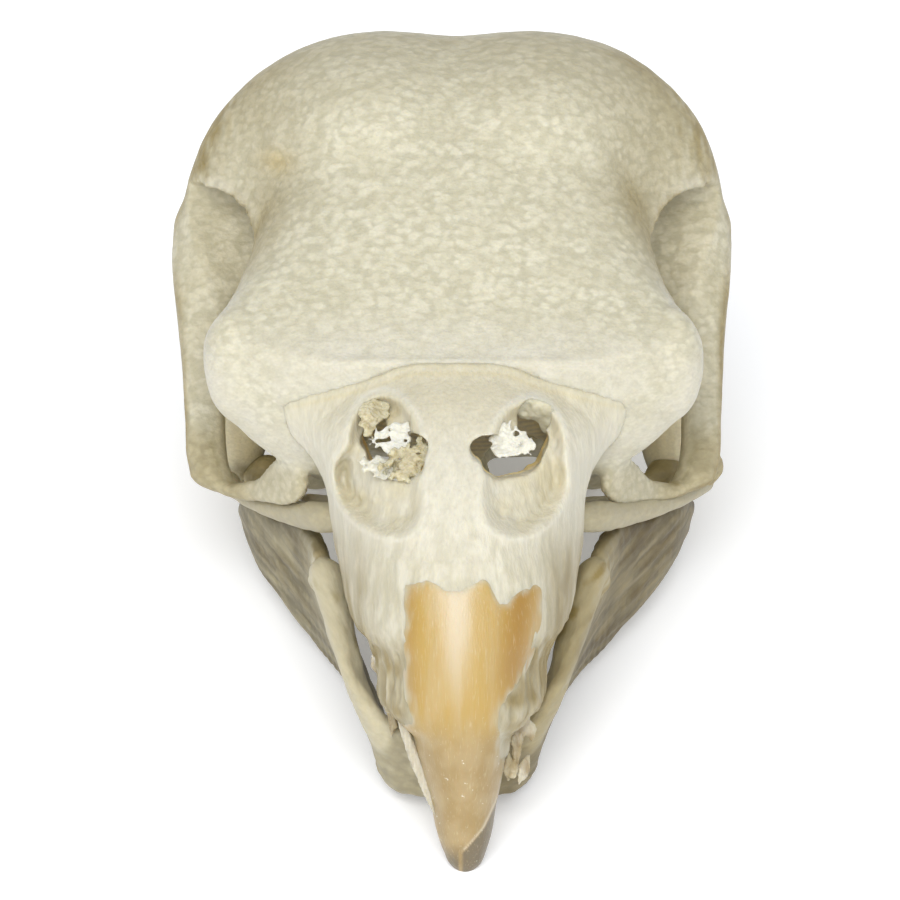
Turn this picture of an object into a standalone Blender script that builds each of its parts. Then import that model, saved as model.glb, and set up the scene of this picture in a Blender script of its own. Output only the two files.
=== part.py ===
# Skull of a small parrot at life size, lying on its bill tip and the back of its base.
# Every size below is in millimetres in the skull's own frame: x to the bird's left, y towards
# the back of the head, z up, the origin at the middle of the hinge between bill and forehead.
# MM turns them to metres, and the skull_rest empty tips the whole skull into its resting pose.
import math

import bmesh
import bpy
import numpy as np
from mathutils import Matrix, Vector

MM = 0.001
GAP = 0.3            # between bones that touch in life
RING = 40            # points round a lofted bone
ROD_RING = 10        # points round a thin bone
BONE_RING = 14       # points round a thicker one

# how finely fused bones are remade, and the share of their faces that is kept
FIRST_VOXEL = 0.3
VOXEL = 0.2
FINE_VOXEL = 0.16
CRANIUM_KEEP = 0.054
FIRST_ROUNDS = 7     # of smoothing where the swellings of the braincase meet it
BILL_KEEP = 0.07
SHEATH_KEEP = 0.12
JAW_KEEP = 0.09
HANGER_KEEP = 0.2

# the braincase and forehead, as curves along y
CROWN = ((0, 0), (2, 2.2), (4, 4.6), (6, 6.6), (8, 7.8), (10, 8.5), (12, 8.35), (14, 7.35), (16, 5.5),
         (17, 4.05), (17.5, 2.95), (17.8, 1.9), (18, 0.6))
FLOOR = ((0, -1.0), (1, -2.6), (2, -3.9), (4, -4.0), (8, -3.6), (11, -4.0), (14, -4.35), (16, -3.5),
         (17, -2.5), (17.5, -1.7), (17.8, -0.95), (18, 0.0))
HALF_WIDTH = ((0, 3.0), (0.6, 4.7), (1.2, 6.0), (2, 6.95), (2.8, 7.15), (3.6, 6.85), (5, 6.45), (6, 6.2),
              (7, 6.15), (7.6, 6.37), (8.2, 6.72), (8.8, 7.22), (9.6, 7.8), (10.5, 8.18), (12, 8.15),
              (14, 7.3), (16, 5.75), (17, 4.25), (17.5, 3.15), (17.8, 2.1), (18, 0.7))
CROWN_SQUARENESS = ((0, 2.2), (4, 2.0), (6.5, 2.4), (9, 3.05), (12, 3.1), (14, 2.65), (18, 2.3))
FLOOR_SQUARENESS = ((0, 2.1), (3.5, 2.1), (6, 2.3), (10, 2.6), (14, 2.4), (18, 2.1))
WIDEST_Z = 0.3
HEAD_LEVELS = (0, 16, 30)                # first and last section, and how many
HEAD_END_LEVELS = (16.3, 18, 8)
BROW_BUMP = dict(at=(2.35, 10.6, 6.0), radii=(3.4, 4.9, 2.57))
BACK_BUMP = dict(at=(0, 15.6, -0.4), radii=(2.3, 2.2, 3.8))

# eye sockets: a notch under the brow, seen from the side, and a cup with its lower part
ORBIT_ROOF = ((2.75, 0.67), (3.4, 1.0), (4.9, 1.75), (5.8, 2.25), (6.4, 2.7), (7, 3.12), (7.5, 3.52),
              (8, 3.88), (8.8, 4.26), (9.6, 4.36))
ORBIT_BACK = ((-4.5, 9.3), (0, 9.2), (2, 9.45), (3, 9.85), (4.3, 10.1))
ORBIT_BACK_SLANT = ((-4.5, 0.0), (-3, 0.0), (0.5, 0.2), (2.4, 0.2), (4.3, -0.3))
ORBIT_BACK_LEVELS = 9
ORBIT_REACH = (5.1, 5.8, 9.6)            # innermost level, where the slant starts, outermost level
ORBIT_CUP = dict(at=(4.55, 6.05, -0.85), radii=(4.0, 3.5, 3.2))
ORBIT_FLOOR = dict(at=(7.6, 6.2, -3.9), radii=(6.6, 3.2, 2.6))
AIRWAY = dict(at=(1.85, 3.6, -2.95), radii=(1.15, 6.0, 1.35))
RIM_BULGE = dict(at=(6.4, 2.3, -0.1), radii=(0.75, 0.8, 1.5))

# the arch below each eye and its foot plate, as rows of (middle, half sizes along and across up, up)
ARCH = (
    ((7.5, 11.2, 2.6), (0.8, 0.8), (0, 1, 0.3)),
    ((7.48, 10.5, 1.8), (0.9, 0.85), (0, 1, 0.3)),
    ((7.38, 9.5, 0.6), (0.9, 0.82), (0, 1, 0.3)),
    ((7.42, 8.5, -0.9), (0.75, 0.64), (0, 1, 0.35)),
    ((7.36, 7.6, -2.4), (0.55, 0.6), (0, 1, 0.35)),
    ((7.25, 6.85, -3.5), (0.5, 0.58), (0, 0.8, 0.8)),
    ((6.6, 5.95, -4.12), (0.26, 0.45), (0, 0.3, 1)),
    ((5.9, 5.0, -4.12), (0.26, 0.32), (0, 0, 1)),
)
ARCH_SQUARENESS = 2.6
FOOT_PLATE = (
    ((6.3, 5.6, -4.1), (0.26, 0.3), (0, 0, 1)),
    ((5.5, 4.2, -3.95), (0.4, 0.28), (0, 0, 1)),
    ((5.05, 3.25, -3.65), (0.68, 0.28), (0, 0, 1)),
    ((4.72, 2.55, -3.5), (0.7, 0.3), (0, 0, 1)),
    ((4.45, 2.1, -3.3), (0.5, 0.3), (0, 0, 1)),
)
PLATE_SQUARENESS = 4.0
KNOB = ((7.62, 7.5, -3.4), (7.78, 7.6, -3.75), (7.7, 7.7, -4.0))
KNOB_THICK = 0.27

# the back of the base
TEMPLE = dict(at=(9.15, 11.8, 1.0), radii=(1.35, 2.4, 2.2))
EAR = dict(at=(7.3, 11.6, -2.8), radii=(1.2, 0.9, 0.9))
FORAMEN = dict(at=(0, 16.4, -4.0), radii=(1.75, 2.0, 1.9))
CONDYLE = dict(at=(0, 14.4, -4.3), radii=(0.6, 0.6, 0.5))
REST_PROCESS = (4.2, 13.4, -5.45)        # lowest point of each process that the skull rests on
PROCESS_RADII = (1.2, 1.4, 1.5)
ROSTRUM = ((0, 1.6, -3.3), (0, 5.0, -4.0), (0, 8.5, -4.1), (0, 11.0, -4.2))
ROSTRUM_SIZES = ((0.45, 0.45), (0.5, 0.5), (0.6, 0.7), (0.6, 0.9))

# upper bill, as curves down z
BILL_TIP = (0.28, -4.1, -13.75)
CULMEN = ((-13.75, -4.1), (-13.2, -4.45), (-12.2, -4.75), (-10.4, -5.15), (-8.2, -5.3), (-6, -5.0),
          (-3.8, -4.2), (-1.9, -3.0), (-0.6, -1.5), (0.0, -0.35))
BILL_BACK = ((-13.75, -3.8), (-12.2, -3.55), (-10.4, -3.2), (-9.7, -2.95), (-9.1, -2.2), (-8.2, -1.6),
             (-7.2, -0.9), (-5.5, 0.2), (-3.5, 0.9), (-1.9, 2.4), (0.0, 2.4))
BILL_HALF_WIDTH = ((-13.75, 0.3), (-13.3, 0.56), (-12.6, 0.78), (-11.9, 0.9), (-11.2, 1.08), (-10.4, 1.3),
                   (-9.95, 1.45), (-9.6, 1.85), (-9.25, 2.25), (-8.6, 2.4), (-7.9, 2.5), (-7.2, 2.98),
                   (-6.5, 3.28), (-5.9, 3.4), (-5.2, 3.55), (-4.2, 3.72), (-3.4, 3.85), (-2.75, 4.1),
                   (-2.1, 4.5), (-1.5, 4.6), (-0.9, 4.1), (-0.35, 3.0), (0.0, 1.6))
BILL_SQUARENESS = 1.75
BILL_SIDE_SQUARENESS = 2.2
BILL_LEVELS = (-13.75, -0.8, 34)
BILL_TOP_LEVELS = (-0.5, 0, 4)
BILL_WALL = 0.75
BILL_HOLLOW_LEVELS = (-5.7, -0.9, 14)
BILL_HOLLOW_REACH = 3.0                  # how far back of the bill its hollow is open
NOSTRIL = dict(at=(1.78, -2.6, -1.9), radii=(1.0, 2.2, 1.05))
NARIAL_BASIN = dict(at=(2.0, -3.45, -2.45), radii=(1.3, 0.95, 1.5))

# horn sheath over the front of the bill, and all of its tip
SHEATH_LEVELS = (-15, -5.6, 40)
SHEATH_LEFT = -1.6
SHEATH_RIGHT = ((-15, 1.5), (-9.2, 1.5), (-8.6, 1.7), (-8.0, 2.1), (-7.2, 2.4), (-5.0, 2.5))
SHEATH_DEEP = 0.75
SHEATH_BOW = 0.95                        # how much deeper the sheath lies at its sides
SHEATH_AHEAD = 1.5
SHEATH_WHOLE = -9.9                      # below this level the bill turns to horn all through
SHEATH_STEP = 0.8                        # height over which it does
TIP_REACH = (2.0, 3.0)                   # room added to the sides and to the back there
SHEATH_ARC = 13

# lower jaw, as rows of (middle, half height, half thickness, lean back of its height, flare)
JAW = (
    ((6.2, 10.3, -5.8), 0.45, 0.42, 0.0, 0.2),
    ((6.25, 9.5, -5.85), 0.7, 0.38, 0.0, 0.2),
    ((5.95, 8.0, -6.1), 1.02, 0.38, 0.0, 0.2),
    ((5.2, 6.3, -6.5), 1.36, 0.38, 0.0, 0.18),
    ((4.2, 4.2, -7.05), 1.92, 0.34, 0.05, 0.2),
    ((3.45, 2.2, -8.0), 2.1, 0.32, 0.10, 0.32),
    ((2.9, 0.6, -9.05), 1.9, 0.32, 0.15, 0.42),
    ((2.38, -0.65, -10.15), 1.7, 0.32, 0.25, 0.4),
    ((1.9, -1.4, -10.8), 1.3, 0.34, 0.40, 0.3),
    ((1.1, -1.85, -11.05), 1.12, 0.4, 0.42, 0.2),
    ((0.0, -2.0, -11.1), 1.05, 0.44, 0.42, 0.0),
)
JAW_ASKEW = 0.03     # the jaw and the bones it hangs from drift this much to the left for each mm back
JAW_FRONT = -2.0
JAW_SQUARENESS = 2.6
JAW_COUNT = 90
TOOTH_RIDGE = ((4.1, 2.3, -6.45), (3.85, 1.6, -6.2), (3.44, 0.5, -7.2), (3.02, -0.6, -8.35),
               (2.55, -1.4, -9.5), (2.2, -1.75, -10.0))
RIDGE_THICK = 0.38

# slender bones between the jaw joint, the bill and the base
CHEEK_BAR = ((3.5, 1.05, -4.5), (3.95, 1.5, -4.6), (4.8, 3.2, -4.74), (5.9, 5.5, -4.78), (6.75, 7.6, -4.74),
             (7.1, 9.0, -4.68))
CHEEK_BAR_THICK = 0.29
JAW_HANGER = dict(at=(6.0, 9.8, -4.3), radii=(0.55, 0.85, 0.48))
HANGER_FORK = ((5.9, 9.7, -4.35), (5.45, 9.0, -4.4), (5.0, 8.4, -4.45))
HANGER_FORK_THICK = 0.3
HANGER_FOOT = ((5.8, 9.5, -4.45), (6.3, 9.7, -4.5))
HANGER_FOOT_THICK = 0.36
PTERYGOID = ((4.7, 9.2, -5.2), (3.0, 8.0, -5.15), (1.2, 6.8, -5.1))
PTERYGOID_THICK = 0.32
PALATINE = (
    ((2.4, 1.2, -4.75), 0.32, 0.45),
    ((2.35, 3.2, -5.2), 0.35, 0.38),
    ((2.2, 4.8, -6.15), 0.65, 0.28),
    ((2.0, 6.4, -6.65), 0.88, 0.27),
    ((1.8, 8.0, -6.8), 0.92, 0.27),
    ((1.7, 9.0, -6.8), 0.55, 0.27),
)
PALATINE_SQUARENESS = 2.4

# flake of bone in each nostril
FLAKE = ((1.75, -1.6, -1.35), (1.65, -1.85, -1.7), (1.6, -2.0, -2.05))
FLAKE_SIZES = ((0.28, 0.28), (0.4, 0.27), (0.45, 0.27))

BONE = (0.72, 0.68, 0.55)
PALE_BONE = (0.82, 0.80, 0.70)
JAW_BONE = (0.62, 0.58, 0.44)
HORN = (0.62, 0.38, 0.16)
BONE_ROUGHNESS = 0.5
HORN_ROUGHNESS = 0.35


def curve_value(curve, where):
    """Smooth value at where of a curve given as (place, value) pairs."""
    place, value = np.array(sorted(curve), dtype=float).T
    slope = np.gradient(value, place)
    where = np.clip(where, place[0], place[-1])
    i = np.clip(np.searchsorted(place, where, side="right") - 1, 0, len(place) - 2)
    step = place[i + 1] - place[i]
    t = (where - place[i]) / step
    return ((1 + 2 * t) * (1 - t) ** 2 * value[i] + t * (1 - t) ** 2 * step * slope[i]
            + t * t * (3 - 2 * t) * value[i + 1] - t * t * (1 - t) * step * slope[i + 1])


def power(value, exponent):
    return np.sign(value) * np.abs(value) ** exponent


def smooth_path(points, count):
    """Points evenly placed along a smooth curve through the given ones."""
    points = np.array(points, dtype=float)
    place = np.linspace(0, 1, len(points))
    where = np.linspace(0, 1, count)
    curves = [list(zip(place, column)) for column in points.T]
    return np.stack([[curve_value(curve, w) for w in where] for curve in curves], axis=1)


def mesh_object(name, bm):
    bmesh.ops.recalc_face_normals(bm, faces=bm.faces)
    mesh = bpy.data.meshes.new(name)
    bm.to_mesh(mesh)
    bm.free()
    made = bpy.data.objects.new(name, mesh)
    bpy.context.scene.collection.objects.link(made)
    return made


def loft(name, rings):
    """Closed skin over rings of points, with flat ends."""
    bm = bmesh.new()
    rows = [[bm.verts.new(Vector(point) * MM) for point in ring] for ring in rings]
    for low, high in zip(rows, rows[1:]):
        for i in range(len(low)):
            j = (i + 1) % len(low)
            bm.faces.new((low[i], low[j], high[j], high[i]))
    bm.faces.new(rows[0][::-1])
    bm.faces.new(rows[-1])
    return mesh_object(name, bm)


def oval(name, at, radii, side=1):
    bm = bmesh.new()
    bmesh.ops.create_uvsphere(bm, u_segments=36, v_segments=24, radius=1)
    place = Vector((side * at[0], at[1], at[2])) * MM
    size = Matrix.Diagonal((*(radius * MM for radius in radii), 1))
    bmesh.ops.transform(bm, matrix=Matrix.Translation(place) @ size, verts=bm.verts)
    return mesh_object(name, bm)


def strap(name, path, halves, up=(0, 0, 1), side=1, count=28, points=ROD_RING, squareness=2.0):
    """Bone of oval section along a path; halves are its half sizes along up and across it."""
    line = smooth_path(path, count) * (side, 1, 1)
    halves = smooth_path(halves, count)
    along = np.gradient(line, axis=0)
    along /= np.linalg.norm(along, axis=1)[:, None]
    ups = np.array([up] * count, dtype=float) if np.ndim(up) == 1 else smooth_path(up, count)
    ups -= (ups * along).sum(1)[:, None] * along
    ups /= np.linalg.norm(ups, axis=1)[:, None]
    across = np.cross(along, ups)
    turn = np.linspace(0, 2 * math.pi, points, endpoint=False)
    rings = [
        middle + np.outer(power(np.cos(turn), 2 / squareness) * high, rise)
        + np.outer(power(np.sin(turn), 2 / squareness) * wide, sideways)
        for middle, (high, wide), rise, sideways in zip(line, halves, ups, across)
    ]
    return loft(name, rings)


def rod(name, path, thick, side=1, count=20, points=ROD_RING):
    halves = [(thick, thick)] * len(path)
    return strap(name, path, halves, up=(0, 0.2, 1), side=side, count=count, points=points)


def head_shell(name, grow=0.0):
    """Braincase and forehead as sections across y, all sides moved out by grow."""
    turn = np.linspace(0, 2 * math.pi, RING, endpoint=False)
    rings = []
    for y in np.concatenate((np.linspace(*HEAD_LEVELS), np.linspace(*HEAD_END_LEVELS))):
        top = curve_value(CROWN, y) - WIDEST_Z + grow
        low = WIDEST_Z - curve_value(FLOOR, y) + grow
        wide = curve_value(HALF_WIDTH, y) + grow
        upper = np.sin(turn) > 0
        bend = np.where(upper, curve_value(CROWN_SQUARENESS, y), curve_value(FLOOR_SQUARENESS, y))
        x = wide * power(np.cos(turn), 2 / bend)
        z = WIDEST_Z + np.where(upper, top, low) * power(np.sin(turn), 2 / bend)
        depth = y - grow * (1 - y / 9)
        rings.append(np.stack((x, np.full(RING, depth), z), axis=1))
    return loft(name, rings)


def orbit_notch(name, side):
    """Room under the brow, the same from the side at each level but for the slant of its back."""
    rings = []
    start = ORBIT_REACH[1]
    for out in ORBIT_REACH:
        back = []
        for z in np.linspace(ORBIT_BACK[-1][0], ORBIT_BACK[0][0], ORBIT_BACK_LEVELS):
            slant = curve_value(ORBIT_BACK_SLANT, z) * max(out - start, 0)
            back.append((curve_value(ORBIT_BACK, z) - slant, z))
        front = (ORBIT_ROOF[0][0], ORBIT_BACK[0][0])
        rings.append([(side * out, y, z) for y, z in [*ORBIT_ROOF, *back, front]])
    return loft(name, rings)


def bill_shell(name, levels, inset=0.0, back=0.0):
    """Upper bill as level sections, from the lowest of the given levels up."""
    turn = np.linspace(0, math.pi, RING // 2 + 1)
    rings = []
    for z in levels:
        shift = BILL_TIP[0] * min(1.0, z / BILL_TIP[2])
        wide = max(curve_value(BILL_HALF_WIDTH, z) - inset, 0.1)
        rear = curve_value(BILL_BACK, z) + back
        ahead = curve_value(CULMEN, z) + inset
        x = shift + wide * power(np.cos(turn), 2 / BILL_SIDE_SQUARENESS)
        y = rear + (ahead - rear) * power(np.sin(turn), 2 / BILL_SQUARENESS)
        rings.append(np.stack((x, y, np.full(len(turn), z)), axis=1))
    return loft(name, rings)


def askew(bone):
    """Shifts a bone of the jaw to the left, more and more towards the back."""
    drift = Matrix.Identity(4)
    drift[0][1] = JAW_ASKEW
    drift[0][3] = -JAW_ASKEW * JAW_FRONT * MM
    bone.data.transform(drift)
    return bone


def material(name, colour, roughness):
    made = bpy.data.materials.new(name)
    made.use_nodes = True
    shader = made.node_tree.nodes["Principled BSDF"]
    shader.inputs["Base Color"].default_value = (*colour, 1)
    shader.inputs["Roughness"].default_value = roughness
    shader.inputs["Metallic"].default_value = 0.0
    return made


def joined(name, pieces):
    """One object holding the meshes of several, still as separate bodies."""
    bm = bmesh.new()
    for piece in pieces:
        bm.from_mesh(piece.data)
        bpy.data.objects.remove(piece)
    return mesh_object(name, bm)


def fused(bone, voxel, rounds):
    """Grows overlapping bodies into one skin and softens where they meet."""
    grown = bone.modifiers.new("fuse", "REMESH")
    grown.mode = "VOXEL"
    grown.voxel_size = voxel * MM
    grown.use_smooth_shade = True
    soft = bone.modifiers.new("soften", "SMOOTH")
    soft.factor = 0.5
    soft.iterations = rounds


def cut(bone, cutter, operation="DIFFERENCE"):
    step = bone.modifiers.new(cutter.name, "BOOLEAN")
    step.operation = operation
    step.solver = "EXACT"
    step.object = cutter
    cutter.parent = rest
    cutter.hide_render = True
    cutter.display_type = "WIRE"
    cutters.objects.link(cutter)
    bpy.context.scene.collection.objects.unlink(cutter)


def thinned(bone, share):
    fewer = bone.modifiers.new("thin", "DECIMATE")
    fewer.ratio = share


def finished(bone, name, look):
    bone.name = name
    bone.data.name = name
    bone.data.materials.clear()
    bone.data.materials.append(look)
    bone.parent = rest
    bpy.context.scene.collection.objects.unlink(bone)
    skull.objects.link(bone)
    return bone


def rows_strap(name, rows, side, squareness):
    """Strap from rows of (middle, half sizes, up)."""
    path, halves, ups = ([row[i] for row in rows] for i in range(3))
    ups = [(side * x, y, z) for x, y, z in ups]
    return strap(name, path, halves, up=ups, side=side, points=BONE_RING, squareness=squareness)


def make_cranium():
    solids = [head_shell("head"), oval("back", **BACK_BUMP)]
    for side in (-1, 1):
        solids.append(oval("brow", side=side, **BROW_BUMP))
        solids.append(oval("rim", side=side, **RIM_BULGE))
    bone = joined("cranium", solids)
    fused(bone, FIRST_VOXEL, FIRST_ROUNDS)
    for side, word in ((-1, "right"), (1, "left")):
        cut(bone, orbit_notch(f"orbit_notch_cut_{word}", side))
        cut(bone, oval(f"orbit_cup_cut_{word}", side=side, **ORBIT_CUP))
        cut(bone, oval(f"orbit_floor_cut_{word}", side=side, **ORBIT_FLOOR))
        cut(bone, oval(f"airway_cut_{word}", side=side, **AIRWAY))
        cut(bone, oval(f"temple_cut_{word}", side=side, **TEMPLE))
        cut(bone, oval(f"ear_cut_{word}", side=side, **EAR))
    for side, word in ((-1, "right"), (1, "left")):
        cut(bone, rows_strap(f"arch_{word}", ARCH, side, ARCH_SQUARENESS), "UNION")
        cut(bone, rows_strap(f"foot_plate_{word}", FOOT_PLATE, side, PLATE_SQUARENESS), "UNION")
        foot = (side * REST_PROCESS[0], REST_PROCESS[1], REST_PROCESS[2] + PROCESS_RADII[2])
        cut(bone, oval(f"rest_process_{word}", foot, PROCESS_RADII), "UNION")
    cut(bone, rod("knob", KNOB, KNOB_THICK), "UNION")
    cut(bone, oval("condyle", **CONDYLE), "UNION")
    cut(bone, strap("rostrum", ROSTRUM, ROSTRUM_SIZES, points=BONE_RING), "UNION")
    cut(bone, oval("foramen_cut", **FORAMEN))
    fused(bone, VOXEL, 3)
    thinned(bone, CRANIUM_KEEP)
    return finished(bone, "cranium", bone_look)


def make_bill():
    levels = np.concatenate((np.linspace(*BILL_LEVELS), np.linspace(*BILL_TOP_LEVELS)))
    bone = bill_shell("upper_bill_bone", levels)
    cut(bone, head_shell("hinge_cut", grow=GAP))
    hollow = bill_shell("bill_hollow_cut", np.linspace(*BILL_HOLLOW_LEVELS), BILL_WALL, BILL_HOLLOW_REACH)
    cut(bone, hollow)
    for side, word in ((-1, "right"), (1, "left")):
        cut(bone, oval(f"nostril_cut_{word}", side=side, **NOSTRIL))
        cut(bone, oval(f"basin_cut_{word}", side=side, **NARIAL_BASIN))
    cut(bone, sheath_room("sheath_seat_cut", GAP))
    fused(bone, FINE_VOXEL, 1)
    thinned(bone, BILL_KEEP)
    return finished(bone, "upper_bill_bone", pale_look)


def sheath_room(name, grow):
    """The part of the bill that is horn, moved out by grow."""
    turn = np.linspace(0, math.pi, SHEATH_ARC)
    lowest, highest, count = SHEATH_LEVELS
    rings = []
    for z in np.linspace(lowest, highest + grow, count):
        whole = min(max((SHEATH_WHOLE + grow - z) / SHEATH_STEP, 0), 1)
        right = curve_value(SHEATH_RIGHT, z)
        middle = (right + SHEATH_LEFT) / 2
        half = right - middle + grow + TIP_REACH[0] * whole
        front = curve_value(CULMEN, max(z, BILL_TIP[2]))
        x = middle - half * np.cos(turn)
        y = front + SHEATH_DEEP + grow + TIP_REACH[1] * whole + SHEATH_BOW * np.cos(turn) ** 2
        ahead = front - SHEATH_AHEAD
        outer = [(middle + half, ahead, z), (middle - half, ahead, z)]
        rings.append(list(zip(x, y, np.full(SHEATH_ARC, z))) + outer)
    return loft(name, rings)


def make_sheath():
    bone = bill_shell("bill_sheath", np.linspace(*BILL_LEVELS))
    cut(bone, sheath_room("sheath_cut", 0.0), "INTERSECT")
    fused(bone, FINE_VOXEL, 1)
    thinned(bone, SHEATH_KEEP)
    return finished(bone, "bill_sheath", horn_look)


def make_jaw():
    half = [row[0] for row in JAW]
    path = [(-x, y, z) for x, y, z in half[:-1]] + [half[-1]] + [(x, y, z) for x, y, z in half[-2::-1]]
    rows = list(JAW) + list(JAW[-2::-1])
    halves = [(row[1], row[2]) for row in rows]
    sides = [-1] * (len(JAW) - 1) + [1] * len(JAW)
    ups = [(side * row[4], -row[3], 1) for side, row in zip(sides, rows)]
    body = strap("jaw", path, halves, ups, count=JAW_COUNT, points=BONE_RING, squareness=JAW_SQUARENESS)
    ridges = [rod("ridge", TOOTH_RIDGE, RIDGE_THICK, side) for side in (-1, 1)]
    bone = joined("mandible", [body] + ridges)
    askew(bone)
    fused(bone, VOXEL, 2)
    thinned(bone, JAW_KEEP)
    return finished(bone, "mandible", jaw_look)


def make_slender_bones(side, word):
    bar = askew(rod("bar", CHEEK_BAR, CHEEK_BAR_THICK, side, 12))
    finished(bar, f"jugal_bar_{word}", jaw_look)
    pterygoid = askew(rod("pterygoid", PTERYGOID, PTERYGOID_THICK, side, 8))
    finished(pterygoid, f"pterygoid_{word}", bone_look)
    path = [row[0] for row in PALATINE]
    halves = [row[1:] for row in PALATINE]
    palatine = strap("palatine", path, halves, side=side, count=12, squareness=PALATINE_SQUARENESS)
    finished(palatine, f"palatine_{word}", bone_look)
    hanger = joined("quadrate", [
        oval("body", side=side, **JAW_HANGER),
        rod("fork", HANGER_FORK, HANGER_FORK_THICK, side),
        rod("foot", HANGER_FOOT, HANGER_FOOT_THICK, side),
    ])
    askew(hanger)
    fused(hanger, FINE_VOXEL, 2)
    thinned(hanger, HANGER_KEEP)
    finished(hanger, f"quadrate_{word}", bone_look)
    flake = strap("flake", FLAKE, FLAKE_SIZES, up=(1, 0, 0), side=side, count=8)
    finished(flake, f"nostril_flake_{word}", pale_look)


def world_box(bones):
    """Lowest and highest corners of the finished bones, as the viewport shows them."""
    depsgraph = bpy.context.evaluated_depsgraph_get()
    corners = []
    for bone in bones:
        shown = bone.evaluated_get(depsgraph)
        corners += [shown.matrix_world @ vertex.co for vertex in shown.data.vertices]
    corners = np.array(corners)
    return corners.min(0), corners.max(0)


def lay_to_rest():
    """Tips the skull back until bill tip and base processes are level, centred over the origin."""
    rise = REST_PROCESS[2] - BILL_TIP[2]
    run = REST_PROCESS[1] - BILL_TIP[1]
    rest.rotation_euler = (-math.atan2(rise, run), 0, 0)
    bpy.context.view_layer.update()
    low, high = world_box(skull.objects)
    rest.location = (-(low[0] + high[0]) / 2, -(low[1] + high[1]) / 2, -low[2])
    bpy.context.view_layer.update()


for old in list(bpy.data.objects):
    bpy.data.objects.remove(old)
skull = bpy.data.collections.new("small_parrot_skull")
cutters = bpy.data.collections.new("cutters")
bpy.context.scene.collection.children.link(skull)
bpy.context.scene.collection.children.link(cutters)
rest = bpy.data.objects.new("skull_rest", None)
bpy.context.scene.collection.objects.link(rest)

bone_look = material("bone", BONE, BONE_ROUGHNESS)
pale_look = material("pale_bone", PALE_BONE, BONE_ROUGHNESS)
jaw_look = material("jaw_bone", JAW_BONE, BONE_ROUGHNESS)
horn_look = material("horn", HORN, HORN_ROUGHNESS)

make_cranium()
make_bill()
make_sheath()
make_jaw()
for side_sign, side_word in ((-1, "right"), (1, "left")):
    make_slender_bones(side_sign, side_word)
lay_to_rest()
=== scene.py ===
import math
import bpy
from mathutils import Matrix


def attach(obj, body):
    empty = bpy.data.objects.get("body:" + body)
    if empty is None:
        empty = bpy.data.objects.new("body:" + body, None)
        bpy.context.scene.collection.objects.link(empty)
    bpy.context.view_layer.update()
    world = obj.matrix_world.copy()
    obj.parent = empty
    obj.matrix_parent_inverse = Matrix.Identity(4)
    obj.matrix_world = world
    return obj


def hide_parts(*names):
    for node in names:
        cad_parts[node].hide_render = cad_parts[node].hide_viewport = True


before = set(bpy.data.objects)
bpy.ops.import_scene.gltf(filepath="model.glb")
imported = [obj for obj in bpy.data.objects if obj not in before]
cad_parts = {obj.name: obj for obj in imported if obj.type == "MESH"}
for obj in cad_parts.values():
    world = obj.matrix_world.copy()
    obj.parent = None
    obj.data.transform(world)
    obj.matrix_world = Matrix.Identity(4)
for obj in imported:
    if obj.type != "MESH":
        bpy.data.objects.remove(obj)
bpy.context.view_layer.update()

from types import SimpleNamespace

import bpy
import numpy as np
from mathutils import Euler, Vector

# A small parrot's skull. Each bone is worked out as a field on a block of points and skinned,
# in millimetres in the skull's own frame: x to the bird's left, y towards the back, z up,
# zero at the middle of the hinge between bill and forehead. The pose lays it on the floor.
pose = {
    "tipBack": -25.3743,                 # degrees about x
    "place": (-0.011, -3.723, 10.776),   # mm, where the hinge comes to lie
}
detail = {"coarser": 1.0}      # how much longer a block's steps are than told
poseTurn = np.array(Euler((math.radians(pose["tipBack"]), 0, 0)).to_matrix())


# shaping: curves, noise, blocks of points, and shapes joined to a field or carved out of it
def curveAt(curve, where):      # a smooth curve through pairs of place and value
    place, value = np.array(sorted(curve), dtype=float).T
    slope = np.gradient(value, place)
    where = np.clip(where, place[0], place[-1])
    i = np.clip(np.searchsorted(place, where, side="right") - 1, 0, len(place) - 2)
    step = place[i + 1] - place[i]
    t = (where - place[i]) / step
    return ((1 + 2 * t) * (1 - t) ** 2 * value[i] + t * (1 - t) ** 2 * step * slope[i]
            + t * t * (3 - 2 * t) * value[i + 1] - t * t * (1 - t) * step * slope[i + 1])


def smoothStep(low, high, value):
    t = np.clip((value - low) / (high - low), 0, 1)
    return t * t * (3 - 2 * t)


def makeNoise(seed):
    table = np.random.default_rng(seed).random((32, 32, 32)).astype(np.float32) * 2 - 1

    def noise(points, size):   # soft lumps about size mm across, from -1 to 1
        spot = np.asarray(points, np.float32) / size
        base = np.floor(spot).astype(int)
        t = spot - base
        t = t * t * (3 - 2 * t)
        total = 0
        for i in (0, 1):
            for j in (0, 1):
                for k in (0, 1):
                    weight = np.abs(1 - i - t[..., 0]) * np.abs(1 - j - t[..., 1]) * np.abs(1 - k - t[..., 2])
                    corner = (base + (i, j, k)) % 32
                    total = total + weight * table[corner[..., 0], corner[..., 1], corner[..., 2]]
        return total
    return noise


noise = makeNoise(seed=7)
even = (1, 1, 1)


def grained(points, *layers):      # lumps of several sizes together, each told as (stretch, size, height)
    return sum(noise(points * stretch, size) * high for stretch, size, high in layers)


def makeBlock(low, high, step):
    step *= detail["coarser"]
    axes = [np.arange(a, b + step, step, dtype=np.float32) for a, b in zip(low, high)]
    return SimpleNamespace(axes=axes, step=step, x=axes[0][:, None, None], y=axes[1][None, :, None],
                           z=axes[2][None, None, :], part=(slice(None),) * 3)


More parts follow.
